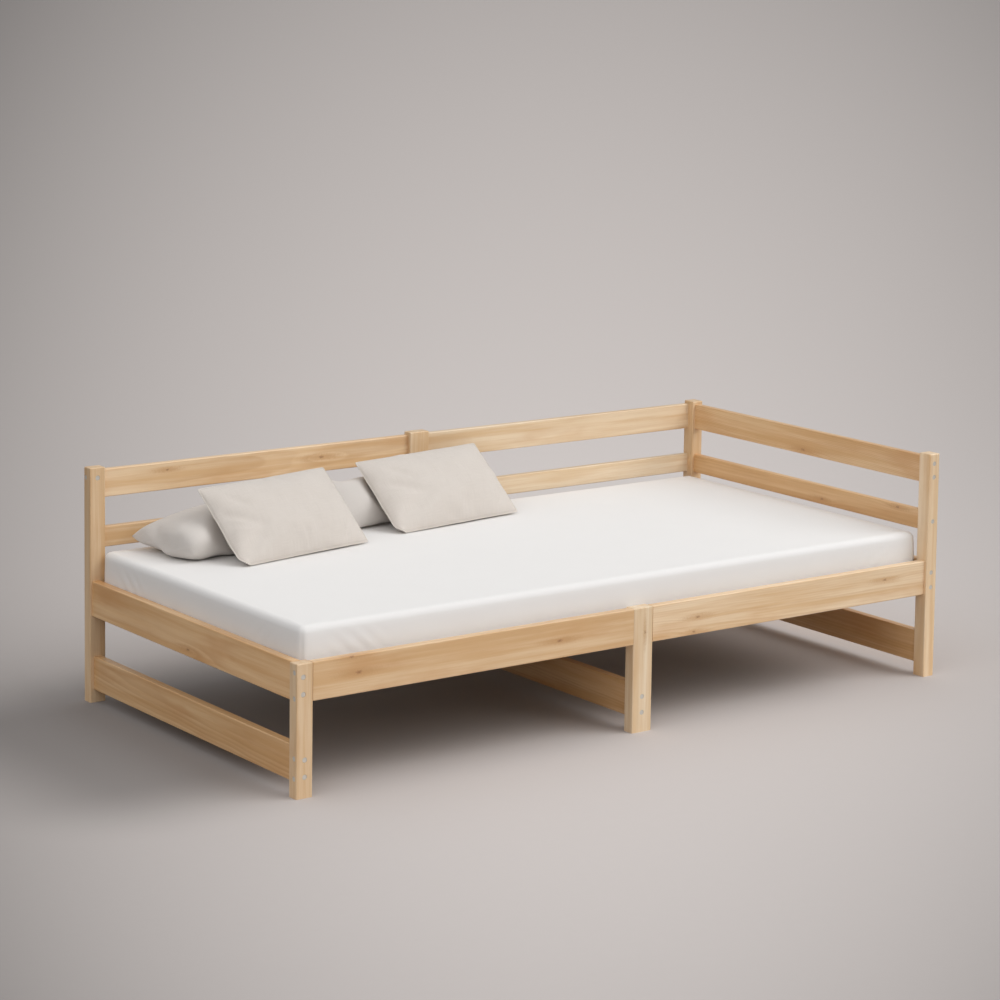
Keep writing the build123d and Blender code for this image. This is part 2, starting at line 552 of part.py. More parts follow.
def make_pillows_and_cushions():
    left_end = LEFT + PILLOW_LEFT_FROM_END
    right_end = left_end + PILLOW_LENGTH + PILLOW_APART
    pillow("pillow_left", left_end, PILLOW_LEFT_OUTER, PILLOW_LEFT_INNER)
    pillow("pillow_right", right_end, PILLOW_RIGHT_OUTER, PILLOW_RIGHT_INNER)
    for name, start, place, yaw, lean in (
            ("cushion_left", left_end, CUSHION_LEFT_PLACE, CUSHION_LEFT_YAW,
             CUSHION_LEFT_LEAN),
            ("cushion_right", right_end, CUSHION_RIGHT_PLACE, CUSHION_RIGHT_YAW,
             CUSHION_RIGHT_LEAN)):
        x, y = start + place[0], BACK_POSTS_IN - place[1]
        cushion(name, cushion_middle(x, y, lean), yaw, lean)


# ---- put it all together ---------------------------------------------------------------------------
make_posts()
make_boards()
join_cross_boards()
join_long_boards()
close_spare_holes()
make_battens()
make_slats()
for name, bores in cuts.items():
    if bores:
        pieces[name] = pieces[name] - bores
for group in bolts:
    pieces["bolts_" + group] = Compound(children=bolts[group])
    pieces["barrel_nuts_" + group] = Compound(children=nuts[group])
pieces["studs"] = Compound(children=studs)
pieces["dowels"] = Compound(children=dowels)
pieces["cover_caps"] = Compound(children=caps)
pieces["slat_screws"] = Compound(children=slat_screws)
pieces["batten_screws"] = Compound(children=batten_screws)
make_mattress()
make_pillows_and_cushions()

os.makedirs("parts", exist_ok=True)
for name, shape in pieces.items():
    export_step(shape, "parts/" + name + ".step")
print("pieces", len(pieces), "length", LENGTH, "depth", DEPTH, "height", POST_HEIGHT)
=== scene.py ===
import math
import json
import bpy
import bmesh
from mathutils import Matrix, Vector, noise

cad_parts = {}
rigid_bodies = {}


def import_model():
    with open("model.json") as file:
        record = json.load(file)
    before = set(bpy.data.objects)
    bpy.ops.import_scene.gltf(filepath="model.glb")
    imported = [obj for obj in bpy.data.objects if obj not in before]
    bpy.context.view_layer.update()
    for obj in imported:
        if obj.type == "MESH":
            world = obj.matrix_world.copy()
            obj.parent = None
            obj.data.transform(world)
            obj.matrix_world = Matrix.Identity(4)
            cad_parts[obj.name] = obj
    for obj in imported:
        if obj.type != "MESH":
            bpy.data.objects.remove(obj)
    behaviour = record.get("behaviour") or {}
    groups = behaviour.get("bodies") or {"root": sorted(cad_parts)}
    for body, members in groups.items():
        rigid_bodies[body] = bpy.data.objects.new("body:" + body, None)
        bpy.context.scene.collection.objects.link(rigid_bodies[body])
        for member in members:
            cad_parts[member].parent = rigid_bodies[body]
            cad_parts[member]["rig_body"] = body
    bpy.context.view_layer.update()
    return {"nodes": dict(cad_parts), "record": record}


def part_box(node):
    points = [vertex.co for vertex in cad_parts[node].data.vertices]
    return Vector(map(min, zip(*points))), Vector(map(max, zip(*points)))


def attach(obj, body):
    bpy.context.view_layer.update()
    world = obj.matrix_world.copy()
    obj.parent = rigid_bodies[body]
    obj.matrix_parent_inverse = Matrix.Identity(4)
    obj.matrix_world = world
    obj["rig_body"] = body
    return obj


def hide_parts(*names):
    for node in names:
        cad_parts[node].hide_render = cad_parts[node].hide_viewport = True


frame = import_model()
NODES = frame["nodes"]

# A pine daybed with a made-up mattress, two bed pillows and two linen lumbar cushions.
# Metres throughout: +X is the arm end, -Y the open front, +Z up.

# ---- where things are, from the frame -----------------------------------------------------------
SHEET_LOW, SHEET_HIGH = [Vector(c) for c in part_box("fitted_sheet")]
MATTRESS_LOW, MATTRESS_HIGH = [Vector(c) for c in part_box("mattress")]
BED_TOP = SHEET_HIGH.z
BACK_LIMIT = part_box("post_back_middle")[0][1]

# ---- the view and the studio --------------------------------------------------------------------
CAMERA_PLACE = (-4.572, -6.270, 2.084)
CAMERA_TURN = -37.81          # degrees round from the front
CAMERA_DROP = 6.41            # degrees below level
CAMERA_ROLL = 1.045
LENS = 104.75                 # on a 36 mm wide sensor
LENS_SHIFT = (-0.1128, -0.2527)   # which keeps the posts upright in the view
FLOOR_TONE = 1.12
# painted shade on the floor: the middle and reach of the darker patch under the bed
PAINTED_SHADE_MIDDLE = (-0.4, 0.12, 0.0)   # of the darker floor under the bed
PAINTED_SHADE_REACH = (0.92, 0.32, 1.0)

# ---- soft goods ---------------------------------------------------------------------------------
SHEET_CELL = 0.012
SHEET_CORNER_R = 0.0205
SHEET_EDGE_R = 0.019
SHEET_THICKNESS = 0.0009
SHEET_HEM = 0.090
CUSHION_CLOTH = (0.456, 0.272)      # as cut, before it is filled
CUSHION_FILLED = (0.440, 0.256, 0.106)
# turn, lean from upright, roll in its own plane, and shift from the middle of its node
CUSHION_LEFT_POSE = (9.3, 46.0, 0.5, (0.002, 0.004, -0.005))
CUSHION_RIGHT_POSE = (5.6, 47.9, 1.1, (-0.008, -0.004, -0.001))
CUSHION_SPACE = (0.222, 0.131, 0.053)   # half the room a pillow must leave a cushion
# filled size, cloth as cut, then how it lies: shift to the back, height, turn and tilt
PILLOW_LEFT = ((0.516, 0.262, 0.190), (0.56, 0.32), (-0.004, 0.026, 5.0, 4.0))
PILLOW_RIGHT = ((0.512, 0.190, 0.150), (0.55, 0.28), (0.008, 0.056, 3.0, 38.0))
# where the left pillow is pressed: from above, height over the bed, reach, push
PILLOW_PUSHES = (((-0.915, 0.215), 0.01, 0.06, (0.034, 0.016, 0.0)),
                 ((-0.870, 0.280), 0.06, 0.06, (-0.008, -0.030, 0.010)))
CLOTH_TENSION = 18.0
CLOTH_GAP = 0.0006


# ---- small node helpers -------------------------------------------------------------------------
class Nodes:
    """Builds shader or geometry nodes in one tree, taking numbers or sockets as inputs."""

    def __init__(self, tree):
        self.tree = tree

    def add(self, kind, inputs=(), **settings):
        node = self.tree.nodes.new(kind)
        for key, value in settings.items():
            setattr(node, key, value)
        for key, value in dict(inputs).items():
            self.feed(node.inputs[key], value)
        return node

    def feed(self, socket, value):
        if isinstance(value, bpy.types.NodeSocket):
            self.tree.links.new(value, socket)
        else:
            socket.default_value = value

    def math(self, operation, *values, clamp=False):
        return self.add("ShaderNodeMath", dict(enumerate(values)), operation=operation,
                        use_clamp=clamp).outputs[0]

    def vector(self, operation, *values, out=0):
        return self.add("ShaderNodeVectorMath", dict(enumerate(values)),
                        operation=operation).outputs[out]

    def split(self, vector):
        return self.add("ShaderNodeSeparateXYZ", {0: vector}).outputs

    def join(self, x, y, z):
        return self.add("ShaderNodeCombineXYZ", {0: x, 1: y, 2: z}).outputs[0]

    def noise(self, vector, scale=1.0, detail=2.0, rough=0.5, distort=0.0, out=0):
        return self.add("ShaderNodeTexNoise", {"Vector": vector, "Scale": scale, "Detail": detail,
                        "Roughness": rough, "Distortion": distort}).outputs[out]

    def smooth(self, value, low, high, to_low=0.0, to_high=1.0):
        node = self.add("ShaderNodeMapRange", {"Value": value, "From Min": low, "From Max": high,
                        "To Min": to_low, "To Max": to_high}, interpolation_type="SMOOTHSTEP")
        return node.outputs[0]

    def scale(self, value, low, high, to_low=0.0, to_high=1.0):
        node = self.add("ShaderNodeMapRange", {"Value": value, "From Min": low, "From Max": high,
                        "To Min": to_low, "To Max": to_high})
        return node.outputs[0]

    def mix(self, factor, first, second, blend="MIX"):
        node = self.add("ShaderNodeMix", data_type="RGBA", blend_type=blend)
        for index, value in ((0, factor), (6, first), (7, second)):
            self.feed(node.inputs[index], value)
        return node.outputs[2]


def rgb(red, green, blue):
    """A colour as its ordinary 0-255 values, made linear."""
    def linear(c):
        c = c / 255
        return c / 12.92 if c <= 0.04045 else ((c + 0.055) / 1.055) ** 2.4
    return (linear(red), linear(green), linear(blue), 1.0)


def node_group(name, inputs, outputs, kind="ShaderNodeTree"):
    """A new node group with named inputs and outputs, ready to be filled."""
    group = bpy.data.node_groups.new(name, kind)
    for label, socket, default in inputs:
        made = group.interface.new_socket(name=label, in_out="INPUT", socket_type=socket)
        if default is not None:
            made.default_value = default
    for label, socket in outputs:
        group.interface.new_socket(name=label, in_out="OUTPUT", socket_type=socket)
    n = Nodes(group)
    return group, n, n.add("NodeGroupInput").outputs, n.add("NodeGroupOutput").inputs


# ---- shared effects -----------------------------------------------------------------------------
def make_pine_grain():
    """Growth rings round a pith line, drawn out along X and pushed aside by knots."""
    group, n, given, result = node_group("pine_grain", (
        ("Vector", "NodeSocketVector", None),
        ("Pith Y", "NodeSocketFloat", 0.06),
        ("Pith Z", "NodeSocketFloat", 0.0),
        ("Ring Width", "NodeSocketFloat", 0.008),
        ("Taper", "NodeSocketFloat", 0.02),
        ("Waver", "NodeSocketFloat", 0.02),
        ("Seed", "NodeSocketFloat", 0.0),
        ("Swell", "NodeSocketFloat", 0.0)), (
        ("Late Wood", "NodeSocketFloat"), ("Fibre", "NodeSocketFloat"),
        ("Streak", "NodeSocketFloat"), ("Cloud", "NodeSocketFloat")))
    x, y, z = n.split(given["Vector"])
    seeded = n.join(n.math("ADD", x, given["Seed"]), y, z)
    slow = n.vector("MULTIPLY", seeded, (1.6, 6.0, 6.0))
    drift = n.vector("SUBTRACT", n.noise(slow, 1.0, 2.0, 0.5, out=1), (0.5, 0.5, 0.5))
    _, drift_y, drift_z = n.split(drift)
    side = n.math("SUBTRACT", n.math("MULTIPLY_ADD", drift_y, given["Waver"], y), given["Pith Y"])
    up = n.math("SUBTRACT", n.math("MULTIPLY_ADD", drift_z, given["Waver"], z), given["Pith Z"])
    away = n.math("SQRT", n.math("ADD", n.math("MULTIPLY", side, side), n.math("MULTIPLY", up, up)))
    away = n.math("MULTIPLY_ADD", x, given["Taper"], away)
    phase = n.math("DIVIDE", n.math("ADD", n.math("ADD", away, given["Swell"]), 1.0),
                   given["Ring Width"])
    part = n.math("FRACT", phase)
    late = n.math("MULTIPLY", n.smooth(part, 0.1, 0.8), n.smooth(part, 1.0, 0.84))
    ring = n.add("ShaderNodeTexWhiteNoise", noise_dimensions="1D")
    n.feed(ring.inputs["W"], n.math("FLOOR", phase))
    late = n.math("MULTIPLY", late, n.math("MULTIPLY_ADD", ring.outputs[0], 0.8, 0.2))
    cloud = n.noise(n.vector("MULTIPLY", seeded, (3.2, 11.0, 11.0)), 1.0, 3.0, 0.55)
    n.feed(result["Late Wood"], n.math("MULTIPLY", late, n.smooth(cloud, 0.3, 0.62, 0.25, 1.0)))
    n.feed(result["Fibre"], n.noise(n.vector("MULTIPLY", seeded, (16.0, 620.0, 620.0)), 1.0, 3.0,
                                    0.65))
    n.feed(result["Streak"], n.noise(n.vector("MULTIPLY", seeded, (1.7, 46.0, 46.0)), 1.0, 4.0,
                                     0.6))
    n.feed(result["Cloud"], cloud)
    return group


def make_knot_mark():
    """One small knot: its dark heart, a feathered stain along the grain, and bent rings."""
    group, n, given, result = node_group("knot_mark", (
        ("Vector", "NodeSocketVector", None), ("Place", "NodeSocketVector", (9.0, 0.0, 0.0)),
        ("Size", "NodeSocketFloat", 0.004)), (
        ("Heart", "NodeSocketFloat"), ("Stain", "NodeSocketFloat"),
        ("Swell", "NodeSocketFloat")))
    offset = n.vector("SUBTRACT", given["Vector"], given["Place"])
    ragged = n.math("SUBTRACT", n.noise(given["Vector"], 260.0, 3.0, 0.6), 0.5)
    near = n.vector("LENGTH", n.vector("MULTIPLY", offset, (0.45, 1.0, 1.0)), out=1)
    near = n.math("DIVIDE", near, given["Size"])
    long = n.vector("LENGTH", n.vector("MULTIPLY", offset, (0.16, 1.0, 1.0)), out=1)
    long = n.math("DIVIDE", long, given["Size"])
    n.feed(result["Heart"], n.smooth(n.math("MULTIPLY_ADD", ragged, 2.0, near), 1.15, 0.1))
    n.feed(result["Stain"], n.smooth(n.math("MULTIPLY_ADD", ragged, 3.2, long), 3.4, 0.4))
    bell = n.math("POWER", 2.718, n.math("MULTIPLY", n.math("MULTIPLY", long, long), -0.12))
    n.feed(result["Swell"], n.math("MULTIPLY", bell, n.math("MULTIPLY", given["Size"], 2.4)))
    return group


def make_weave():
    """A plain weave of threads on a flat pattern, with slubs along both threads."""
    group, n, given, result = node_group("plain_weave", (
        ("Vector", "NodeSocketVector", None),
        ("Thread", "NodeSocketFloat", 0.0007),
        ("Slub", "NodeSocketFloat", 1.0)), (
        ("Height", "NodeSocketFloat"), ("Slubs", "NodeSocketFloat"), ("Shade", "NodeSocketFloat")))
    x, y, _ = n.split(given["Vector"])
    across = n.math("DIVIDE", x, given["Thread"])
    along = n.math("DIVIDE", y, given["Thread"])
    cell = n.math("ADD", n.math("FLOOR", across), n.math("FLOOR", along))
    over = n.math("MULTIPLY", n.math("FRACT", n.math("MULTIPLY", cell, 0.5)), 2.0)
    warp = n.math("SINE", n.math("MULTIPLY", n.math("FRACT", across), math.pi))
    weft = n.math("SINE", n.math("MULTIPLY", n.math("FRACT", along), math.pi))
    height = n.math("ADD", n.math("MULTIPLY", warp, over),
                    n.math("MULTIPLY", weft, n.math("SUBTRACT", 1.0, over)))
    flat = n.join(x, y, 0.0)
    warp_slub = n.noise(n.vector("MULTIPLY", flat, (1100.0, 22.0, 1.0)), 1.0, 2.0, 0.5)
    weft_slub = n.noise(n.vector("MULTIPLY", flat, (22.0, 1100.0, 1.0)), 1.0, 2.0, 0.5)
    slubs = n.math("MULTIPLY", n.math("SUBTRACT", n.math("ADD", warp_slub, weft_slub), 1.0),
                   given["Slub"])
    n.feed(result["Height"], n.math("MULTIPLY_ADD", slubs, 1.4, height))
    n.feed(result["Slubs"], slubs)
    n.feed(result["Shade"], n.noise(flat, 9.0, 3.0, 0.55))
    return group


def make_handling():
    """Faint darkening and polish where a piece has been handled, in soft patches."""
    group, n, given, result = node_group("handling", (
        ("Vector", "NodeSocketVector", None), ("Amount", "NodeSocketFloat", 0.5)), (
        ("Tone", "NodeSocketFloat"), ("Roughness", "NodeSocketFloat")))
    cloud = n.noise(given["Vector"], 5.0, 4.0, 0.6)
    grit = n.noise(given["Vector"], 160.0, 3.0, 0.6)
    centred = n.math("SUBTRACT", cloud, 0.5)
    n.feed(result["Tone"], n.math("MULTIPLY", centred, given["Amount"]))
    n.feed(result["Roughness"], n.math("MULTIPLY_ADD", n.math("SUBTRACT", grit, 0.5), 0.16,
                                       n.math("MULTIPLY", centred, 0.12)))
    return group


PINE_GRAIN = make_pine_grain()
KNOT_MARK = make_knot_mark()
WEAVE = make_weave()
HANDLING = make_handling()


# ---- finishes -----------------------------------------------------------------------------------
def blank_material(name, roughness, **constants):
    """A material with only its shader, whose inputs are given back."""
    material = bpy.data.materials.new(name)
    material.use_nodes = True
    material.node_tree.nodes.clear()
    n = Nodes(material.node_tree)
    shader = n.add("ShaderNodeBsdfPrincipled")
    n.feed(n.add("ShaderNodeOutputMaterial").inputs["Surface"], shader.outputs[0])
    shader.inputs["Roughness"].default_value = roughness
    for key, value in constants.items():
        shader.inputs[key.replace("_", " ")].default_value = value
    return material, n, shader.inputs


def use_group(n, group, **values):
    """One use of a shared group; its inputs are named with _ for a space."""
    node = n.add("ShaderNodeGroup", node_tree=group)
    for key, value in values.items():
        n.feed(node.inputs[key.replace("_", " ")], value)
    return node.outputs


PINE_PALE = rgb(232, 202, 164)
PINE_HONEY = rgb(217, 178, 131)
PINE_LATE = rgb(192, 144, 93)
PINE_AMBER = rgb(202, 152, 100)
KNOT_HEART = rgb(138, 88, 52)
TURN_TO_X = {"X": (0, 0, 0), "Y": (0, 0, -math.pi / 2), "Z": (0, math.pi / 2, 0)}


def pine(name, along, middle, seed, pith=(0.05, 0.0), ring=0.008, taper=0.012, knots=(),
         tone=0.0, painted_warmth=0.0, figure=0.45, roughness=0.4, coat=0.35):
    """Pine with its grain along one axis, as seen in a board's own frame."""
    material, n, shader = blank_material(name, roughness, Coat_Roughness=0.34, IOR=1.5)
    shader["Coat Weight"].default_value = coat
    place = n.add("ShaderNodeTexCoord").outputs["Object"]
    centred = n.vector("SUBTRACT", place, tuple(middle))
    turned = n.add("ShaderNodeMapping", {"Vector": centred, "Rotation": TURN_TO_X[along]})
    turned = turned.outputs[0]
    turn = Matrix.Rotation(TURN_TO_X[along][2], 3, "Z") @ Matrix.Rotation(TURN_TO_X[along][1], 3, "Y")
    heart = stain = swell = 0.0
    for where, size in knots:
        mark = use_group(n, KNOT_MARK, Vector=turned, Size=size,
                         Place=tuple(turn @ (Vector(where) - Vector(middle))))
        heart = n.math("MAXIMUM", heart, mark["Heart"])
        stain = n.math("MAXIMUM", stain, mark["Stain"])
        swell = n.math("ADD", swell, mark["Swell"])
    grain = use_group(n, PINE_GRAIN, Vector=turned, Pith_Y=pith[0], Pith_Z=pith[1],
                      Ring_Width=ring, Taper=taper, Waver=0.03, Seed=seed, Swell=swell)
    handled = use_group(n, HANDLING, Vector=place, Amount=0.3)
    colour = n.mix(n.smooth(grain["Streak"], 0.32, 0.66), PINE_PALE, PINE_HONEY)
    colour = n.mix(n.math("MULTIPLY", grain["Late Wood"], figure), colour, PINE_LATE)
    colour = n.mix(n.smooth(grain["Cloud"], 0.52, 0.74, 0.0, 0.5), colour, PINE_AMBER)
    colour = n.mix(n.smooth(grain["Fibre"], 0.55, 0.78, 0.0, 0.28), colour, PINE_LATE)
    colour = n.mix(n.math("MULTIPLY", stain, 0.55), colour, PINE_LATE)
    colour = n.mix(n.math("MULTIPLY", heart, 0.62), colour, KNOT_HEART)
    # the handled patches are wear; on the frame boards, tone and the warmer tint are painted light:
    # they lighten, darken, warm and cool each board for the light that falls on it, warmer where it
    # stands in shade
    light = n.math("ADD", n.math("MULTIPLY", handled["Tone"], 0.3), 1.0 + tone)
    handled_and_painted_light = n.vector("MULTIPLY", n.join(light, light, light),
                       (1.0, 1.0 - 0.08 * painted_warmth, 1.0 - 0.2 * painted_warmth))
    colour = n.mix(1.0, colour, handled_and_painted_light, blend="MULTIPLY")
    n.feed(shader["Base Color"], colour)
    rough = n.math("ADD", handled["Roughness"], n.math("MULTIPLY_ADD", grain["Fibre"], 0.12,
                                                      roughness - 0.06))
    n.feed(shader["Roughness"], rough)
    relief = n.math("MULTIPLY_ADD", grain["Late Wood"], 0.5, n.math("MULTIPLY", grain["Fibre"], 0.5))
    bump = n.add("ShaderNodeBump", {"Height": relief, "Strength": 0.15, "Distance": 0.0003})
    n.feed(shader["Normal"], bump.outputs[0])
    return material


def cloth(name, pale, deep, thread, slub, roughness, sheen, relief=0.0003, mottled=0.5,
          laid_out=True):
    """Woven cloth whose threads follow the piece's own flat pattern, if it has been laid out."""
    material, n, shader = blank_material(name, roughness, Sheen_Weight=sheen, Sheen_Roughness=0.5)
    shader["Specular IOR Level"].default_value = 0.25
    if laid_out:
        flat = n.add("ShaderNodeUVMap").outputs[0]
    else:
        flat = n.add("ShaderNodeTexCoord").outputs["Object"]
    woven = use_group(n, WEAVE, Vector=flat, Thread=thread, Slub=slub)
    shade = n.math("MULTIPLY_ADD", n.math("SUBTRACT", woven["Shade"], 0.5), mottled,
                   n.math("MULTIPLY_ADD", woven["Slubs"], 0.9, 0.5), clamp=True)
    colour = n.mix(shade, deep, pale)
    # painted light on the weave: the crowns of the threads are drawn paler than the hollows between
    # them
    n.feed(shader["Base Color"], n.mix(n.math("MULTIPLY", woven["Height"], 0.12), colour, pale))
    n.feed(shader["Roughness"], n.math("MULTIPLY_ADD", woven["Slubs"], -0.15, roughness))
    bump = n.add("ShaderNodeBump", {"Height": woven["Height"], "Strength": 0.35,
                                    "Distance": relief})
    n.feed(shader["Normal"], bump.outputs[0])
    return material


def zinc(name, colour, roughness):
    """Plated steel with a faint spangle."""
    material, n, shader = blank_material(name, roughness, Metallic=1.0)
    place = n.add("ShaderNodeTexCoord").outputs["Object"]
    spangle = n.noise(place, 420.0, 3.0, 0.6)
    handled = use_group(n, HANDLING, Vector=place, Amount=0.5)
    tone = n.math("ADD", n.math("MULTIPLY_ADD", spangle, 0.3, 0.8), handled["Tone"])
    n.feed(shader["Base Color"], n.mix(1.0, colour, n.join(tone, tone, tone), blend="MULTIPLY"))
    n.feed(shader["Roughness"], n.math("MULTIPLY_ADD", spangle, 0.2, roughness))
    bump = n.add("ShaderNodeBump", {"Height": spangle, "Strength": 0.15, "Distance": 0.0002})
    n.feed(shader["Normal"], bump.outputs[0])
    return material


def grey_cap():
    """Moulded plastic with a fine grain."""
    material, n, shader = blank_material("moulded_cap", 0.55)
    place = n.add("ShaderNodeTexCoord").outputs["Object"]
    texture = n.noise(place, 1500.0, 2.0, 0.6)
    tone = n.noise(place, 60.0, 2.0)
    n.feed(shader["Base Color"], n.mix(tone, rgb(196, 190, 181), rgb(207, 201, 192)))
    n.feed(shader["Roughness"], n.math("MULTIPLY_ADD", texture, 0.2, 0.45))
    bump = n.add("ShaderNodeBump", {"Height": texture, "Strength": 0.2, "Distance": 0.0001})
    n.feed(shader["Normal"], bump.outputs[0])
    return material


# ---- the wooden frame ---------------------------------------------------------------------------
KNOTS = {"left_end_rail": (((-1.0315, -0.003, 0.251), 0.0045),),
         "back_upper_rail_left": (((-0.317, 0.519, 0.587), 0.0045), ((-0.80, 0.519, 0.60), 0.003)),
         "arm_upper_rail": (((1.0085, -0.001, 0.559), 0.0048),),
         "arm_lower_rail": (((1.0085, -0.089, 0.428), 0.0035), ((1.0085, -0.408, 0.459), 0.0035)),
         "front_rail_left": (((-0.864, -0.531, 0.285), 0.005), ((-0.265, -0.531, 0.278), 0.0045),
                             ((-0.885, -0.531, 0.326), 0.004)),
         "front_rail_right": (((0.185, -0.531, 0.279), 0.004), ((0.173, -0.531, 0.241), 0.0035),
                              ((0.850, -0.531, 0.294), 0.004)),
         "post_front_middle": (((0.009, -0.531, 0.263), 0.003),)}
# painted light per board: how much lighter or darker, and how much warmer, each board is drawn than
# plain pine, warmer on most boards that stand in shade and cooler on most lit ones
PAINTED_LIGHT_TONES = {"arm_upper_rail": (0.0, 0.9), "arm_lower_rail": (-0.03, 1.5),
         "left_end_rail": (0.1, 1.1), "left_stretcher": (-0.02, 1.3),
         "middle_stretcher": (-0.02, 1.2), "right_stretcher": (-0.02, 1.3),
         "right_end_rail": (0.0, 0.8), "post_front_middle": (0.1, -1.6),
         "post_front_left": (0.0, -0.3), "post_back_left": (0.0, 0.0),
         "post_front_right": (0.14, -0.8), "post_back_right": (0.03, -0.3),
         "post_back_middle": (0.04, -0.6), "back_upper_rail_left": (0.14, -0.3),
         "back_lower_rail_left": (0.0, 0.2), "back_upper_rail_right": (0.04, -1.0),
         "back_lower_rail_right": (0.05, -1.6), "front_rail_left": (0.0, 0.3),
         "front_rail_right": (0.14, -0.7), "back_bed_rail_left": (0.0, 0.0),
         "back_bed_rail_right": (0.0, 0.0)}


def finish_timber():
    """Each board and post is its own piece of wood: its own grain and knots, with a tone and tint of
    painted light for where it stands.
    """
    wood = [m["node"] for m in frame["record"]["subparts"] if m["material_slot"] == "pine"]
    for number, name in enumerate(sorted(wood)):
        low, high = [Vector(c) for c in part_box(name)]
        size = high - low
        along = "XYZ"[max(range(3), key=lambda k: size[k])]
        chance = noise.cell(Vector((number + 0.5, 3.5, 7.5)))
        other = noise.cell(Vector((number + 0.5, 11.5, 2.5)))
        depth = 0.06 + 0.07 * chance
        offset = (other - 0.5) * 0.16
        pith = (depth, offset) if size.x > size.y or along == "Y" else (offset, depth)
        material = pine("pine_" + name, along, (low + high) / 2, 3.1 * number, pith=pith,
                        ring=0.0065 + 0.004 * chance, taper=0.008 + 0.02 * other,
                        knots=KNOTS.get(name, ()), figure=0.3 + 0.3 * other,
                        tone=PAINTED_LIGHT_TONES[name][0], painted_warmth=PAINTED_LIGHT_TONES[name][1])
        NODES[name].data.materials.clear()
        NODES[name].data.materials.append(material)


def finish_small_parts():
    """Slats, battens, dowels, steel and caps."""
    slat_wood = pine("pine_slats", "Y", (0.0, 0.0, 0.0), 41.0, pith=(0.31, -0.2), tone=-0.04,
                     roughness=0.6, coat=0.0)
    batten_wood = pine("pine_battens", "X", (0.0, 0.0, 0.0), 57.0, pith=(0.2, 0.1), tone=-0.06,
                       roughness=0.6, coat=0.0)
    beech = pine("beech_dowels", "Z", (0.0, 0.0, 0.0), 77.0, pith=(0.3, 0.3), ring=0.002,
                 tone=-0.12, roughness=0.6, coat=0.0)
    head = zinc("dull_bolt_heads", rgb(180, 180, 178), 0.42)
    plated = zinc("plated_steel", rgb(190, 188, 180), 0.34)
    finishes = {"slat_pine": slat_wood, "beech": beech, "bolt_steel": head, "zinc_steel": plated,
                "grey_cap": grey_cap()}
    for part in frame["record"]["subparts"]:
        finish = finishes.get(part["material_slot"])
        if part["node"].startswith("batten_") and finish is slat_wood:
            finish = batten_wood
        if finish:
            NODES[part["node"]].data.materials.clear()
            NODES[part["node"]].data.materials.append(finish)


# ---- cloth work ---------------------------------------------------------------------------------
def piece_from(name, bm, material):
    """A smooth piece made from a finished bmesh."""
    mesh = bpy.data.meshes.new(name)
    bm.to_mesh(mesh)
    bm.free()
    piece = bpy.data.objects.new(name, mesh)
    bpy.context.scene.collection.objects.link(piece)
    mesh.materials.append(material)
    for face in mesh.polygons:
        face.use_smooth = True
    return piece


def keep_evaluated(piece):
    """Turns a piece's modifiers into its mesh."""
    graph = bpy.context.evaluated_depsgraph_get()
    mesh = bpy.data.meshes.new_from_object(piece.evaluated_get(graph), depsgraph=graph)
    piece.modifiers.clear()
    old = piece.data
    piece.data = mesh
    bpy.data.meshes.remove(old)
    return piece


def sewn_bag(name, width, height, cell, material, unevenness, seed):
    """Two layers of cloth sewn together at their edge, flat, with the pattern as UVs in metres.

    Also gives each point's place on the pattern, from 0 to 1 each way, and its layer.
    """
    columns, rows = round(width / cell), round(height / cell)
    bm = bmesh.new()
    pattern = bm.loops.layers.uv.new("pattern")
    layers, shares = [], []
    for layer in (1, -1):
        grid = {}
        for i in range(columns + 1):
            for j in range(rows + 1):
                rim = i in (0, columns) or j in (0, rows)
                if rim and layer == -1:
                    grid[i, j] = layers[0][i, j]
                    continue
                x, y = width * (i / columns - 0.5), height * (j / rows - 0.5)
                wander = noise.noise_vector(Vector((x * 14, y * 14, seed + layer)))
                lift = 0 if rim else 0.004 * layer
                grid[i, j] = bm.verts.new((x + unevenness * wander.x, y + unevenness * wander.y,
                                           lift + 0.5 * unevenness * wander.z * (not rim)))
                shares.append((i / columns, j / rows, layer))
        layers.append(grid)
        for i in range(columns):
            for j in range(rows):
                ring = [(i, j), (i + 1, j), (i + 1, j + 1), (i, j + 1)]
                face = bm.faces.new([grid[c] for c in (ring if layer == 1 else ring[::-1])])
                for loop in face.loops:
                    loop[pattern].uv = (loop.vert.co.x + layer * width, loop.vert.co.y)
    bm.verts.index_update()
    rim = [(i, 0) for i in range(columns)] + [(columns, j) for j in range(rows)]
    rim += [(i, rows) for i in range(columns, 0, -1)] + [(0, j) for j in range(rows, 0, -1)]
    inner = [(min(max(i, 1), columns - 1), min(max(j, 1), rows - 1)) for i, j in rim]
    seam = [layers[0][c].index for c in rim]
    stitched = [layers[0][c].index for c in dict.fromkeys(inner)]
    return piece_from(name, bm, material), seam, stitched, shares


def square_up(piece, shares, size, amount):
    """Draws the sides of a filled bag back towards straight lines."""
    half = Vector((size[0] / 2, size[1] / 2))
    edge = {}
    for v, (u, t, _) in zip(piece.data.vertices, shares):
        if u in (0.0, 1.0) or t in (0.0, 1.0):
            aim = Vector(((2 * u - 1) * half.x, (2 * t - 1) * half.y))
            edge[round(u, 5), round(t, 5)] = aim - v.co.xy
    for v, (u, t, _) in zip(piece.data.vertices, shares):
        u, t = round(u, 5), round(t, 5)
        across = edge[0.0, t].lerp(edge[1.0, t], u)
        upward = edge[u, 0.0].lerp(edge[u, 1.0], t)
        corners = edge[0.0, 0.0].lerp(edge[1.0, 0.0], u).lerp(
            edge[0.0, 1.0].lerp(edge[1.0, 1.0], u), t)
        v.co.xy += (across + upward - corners) * amount


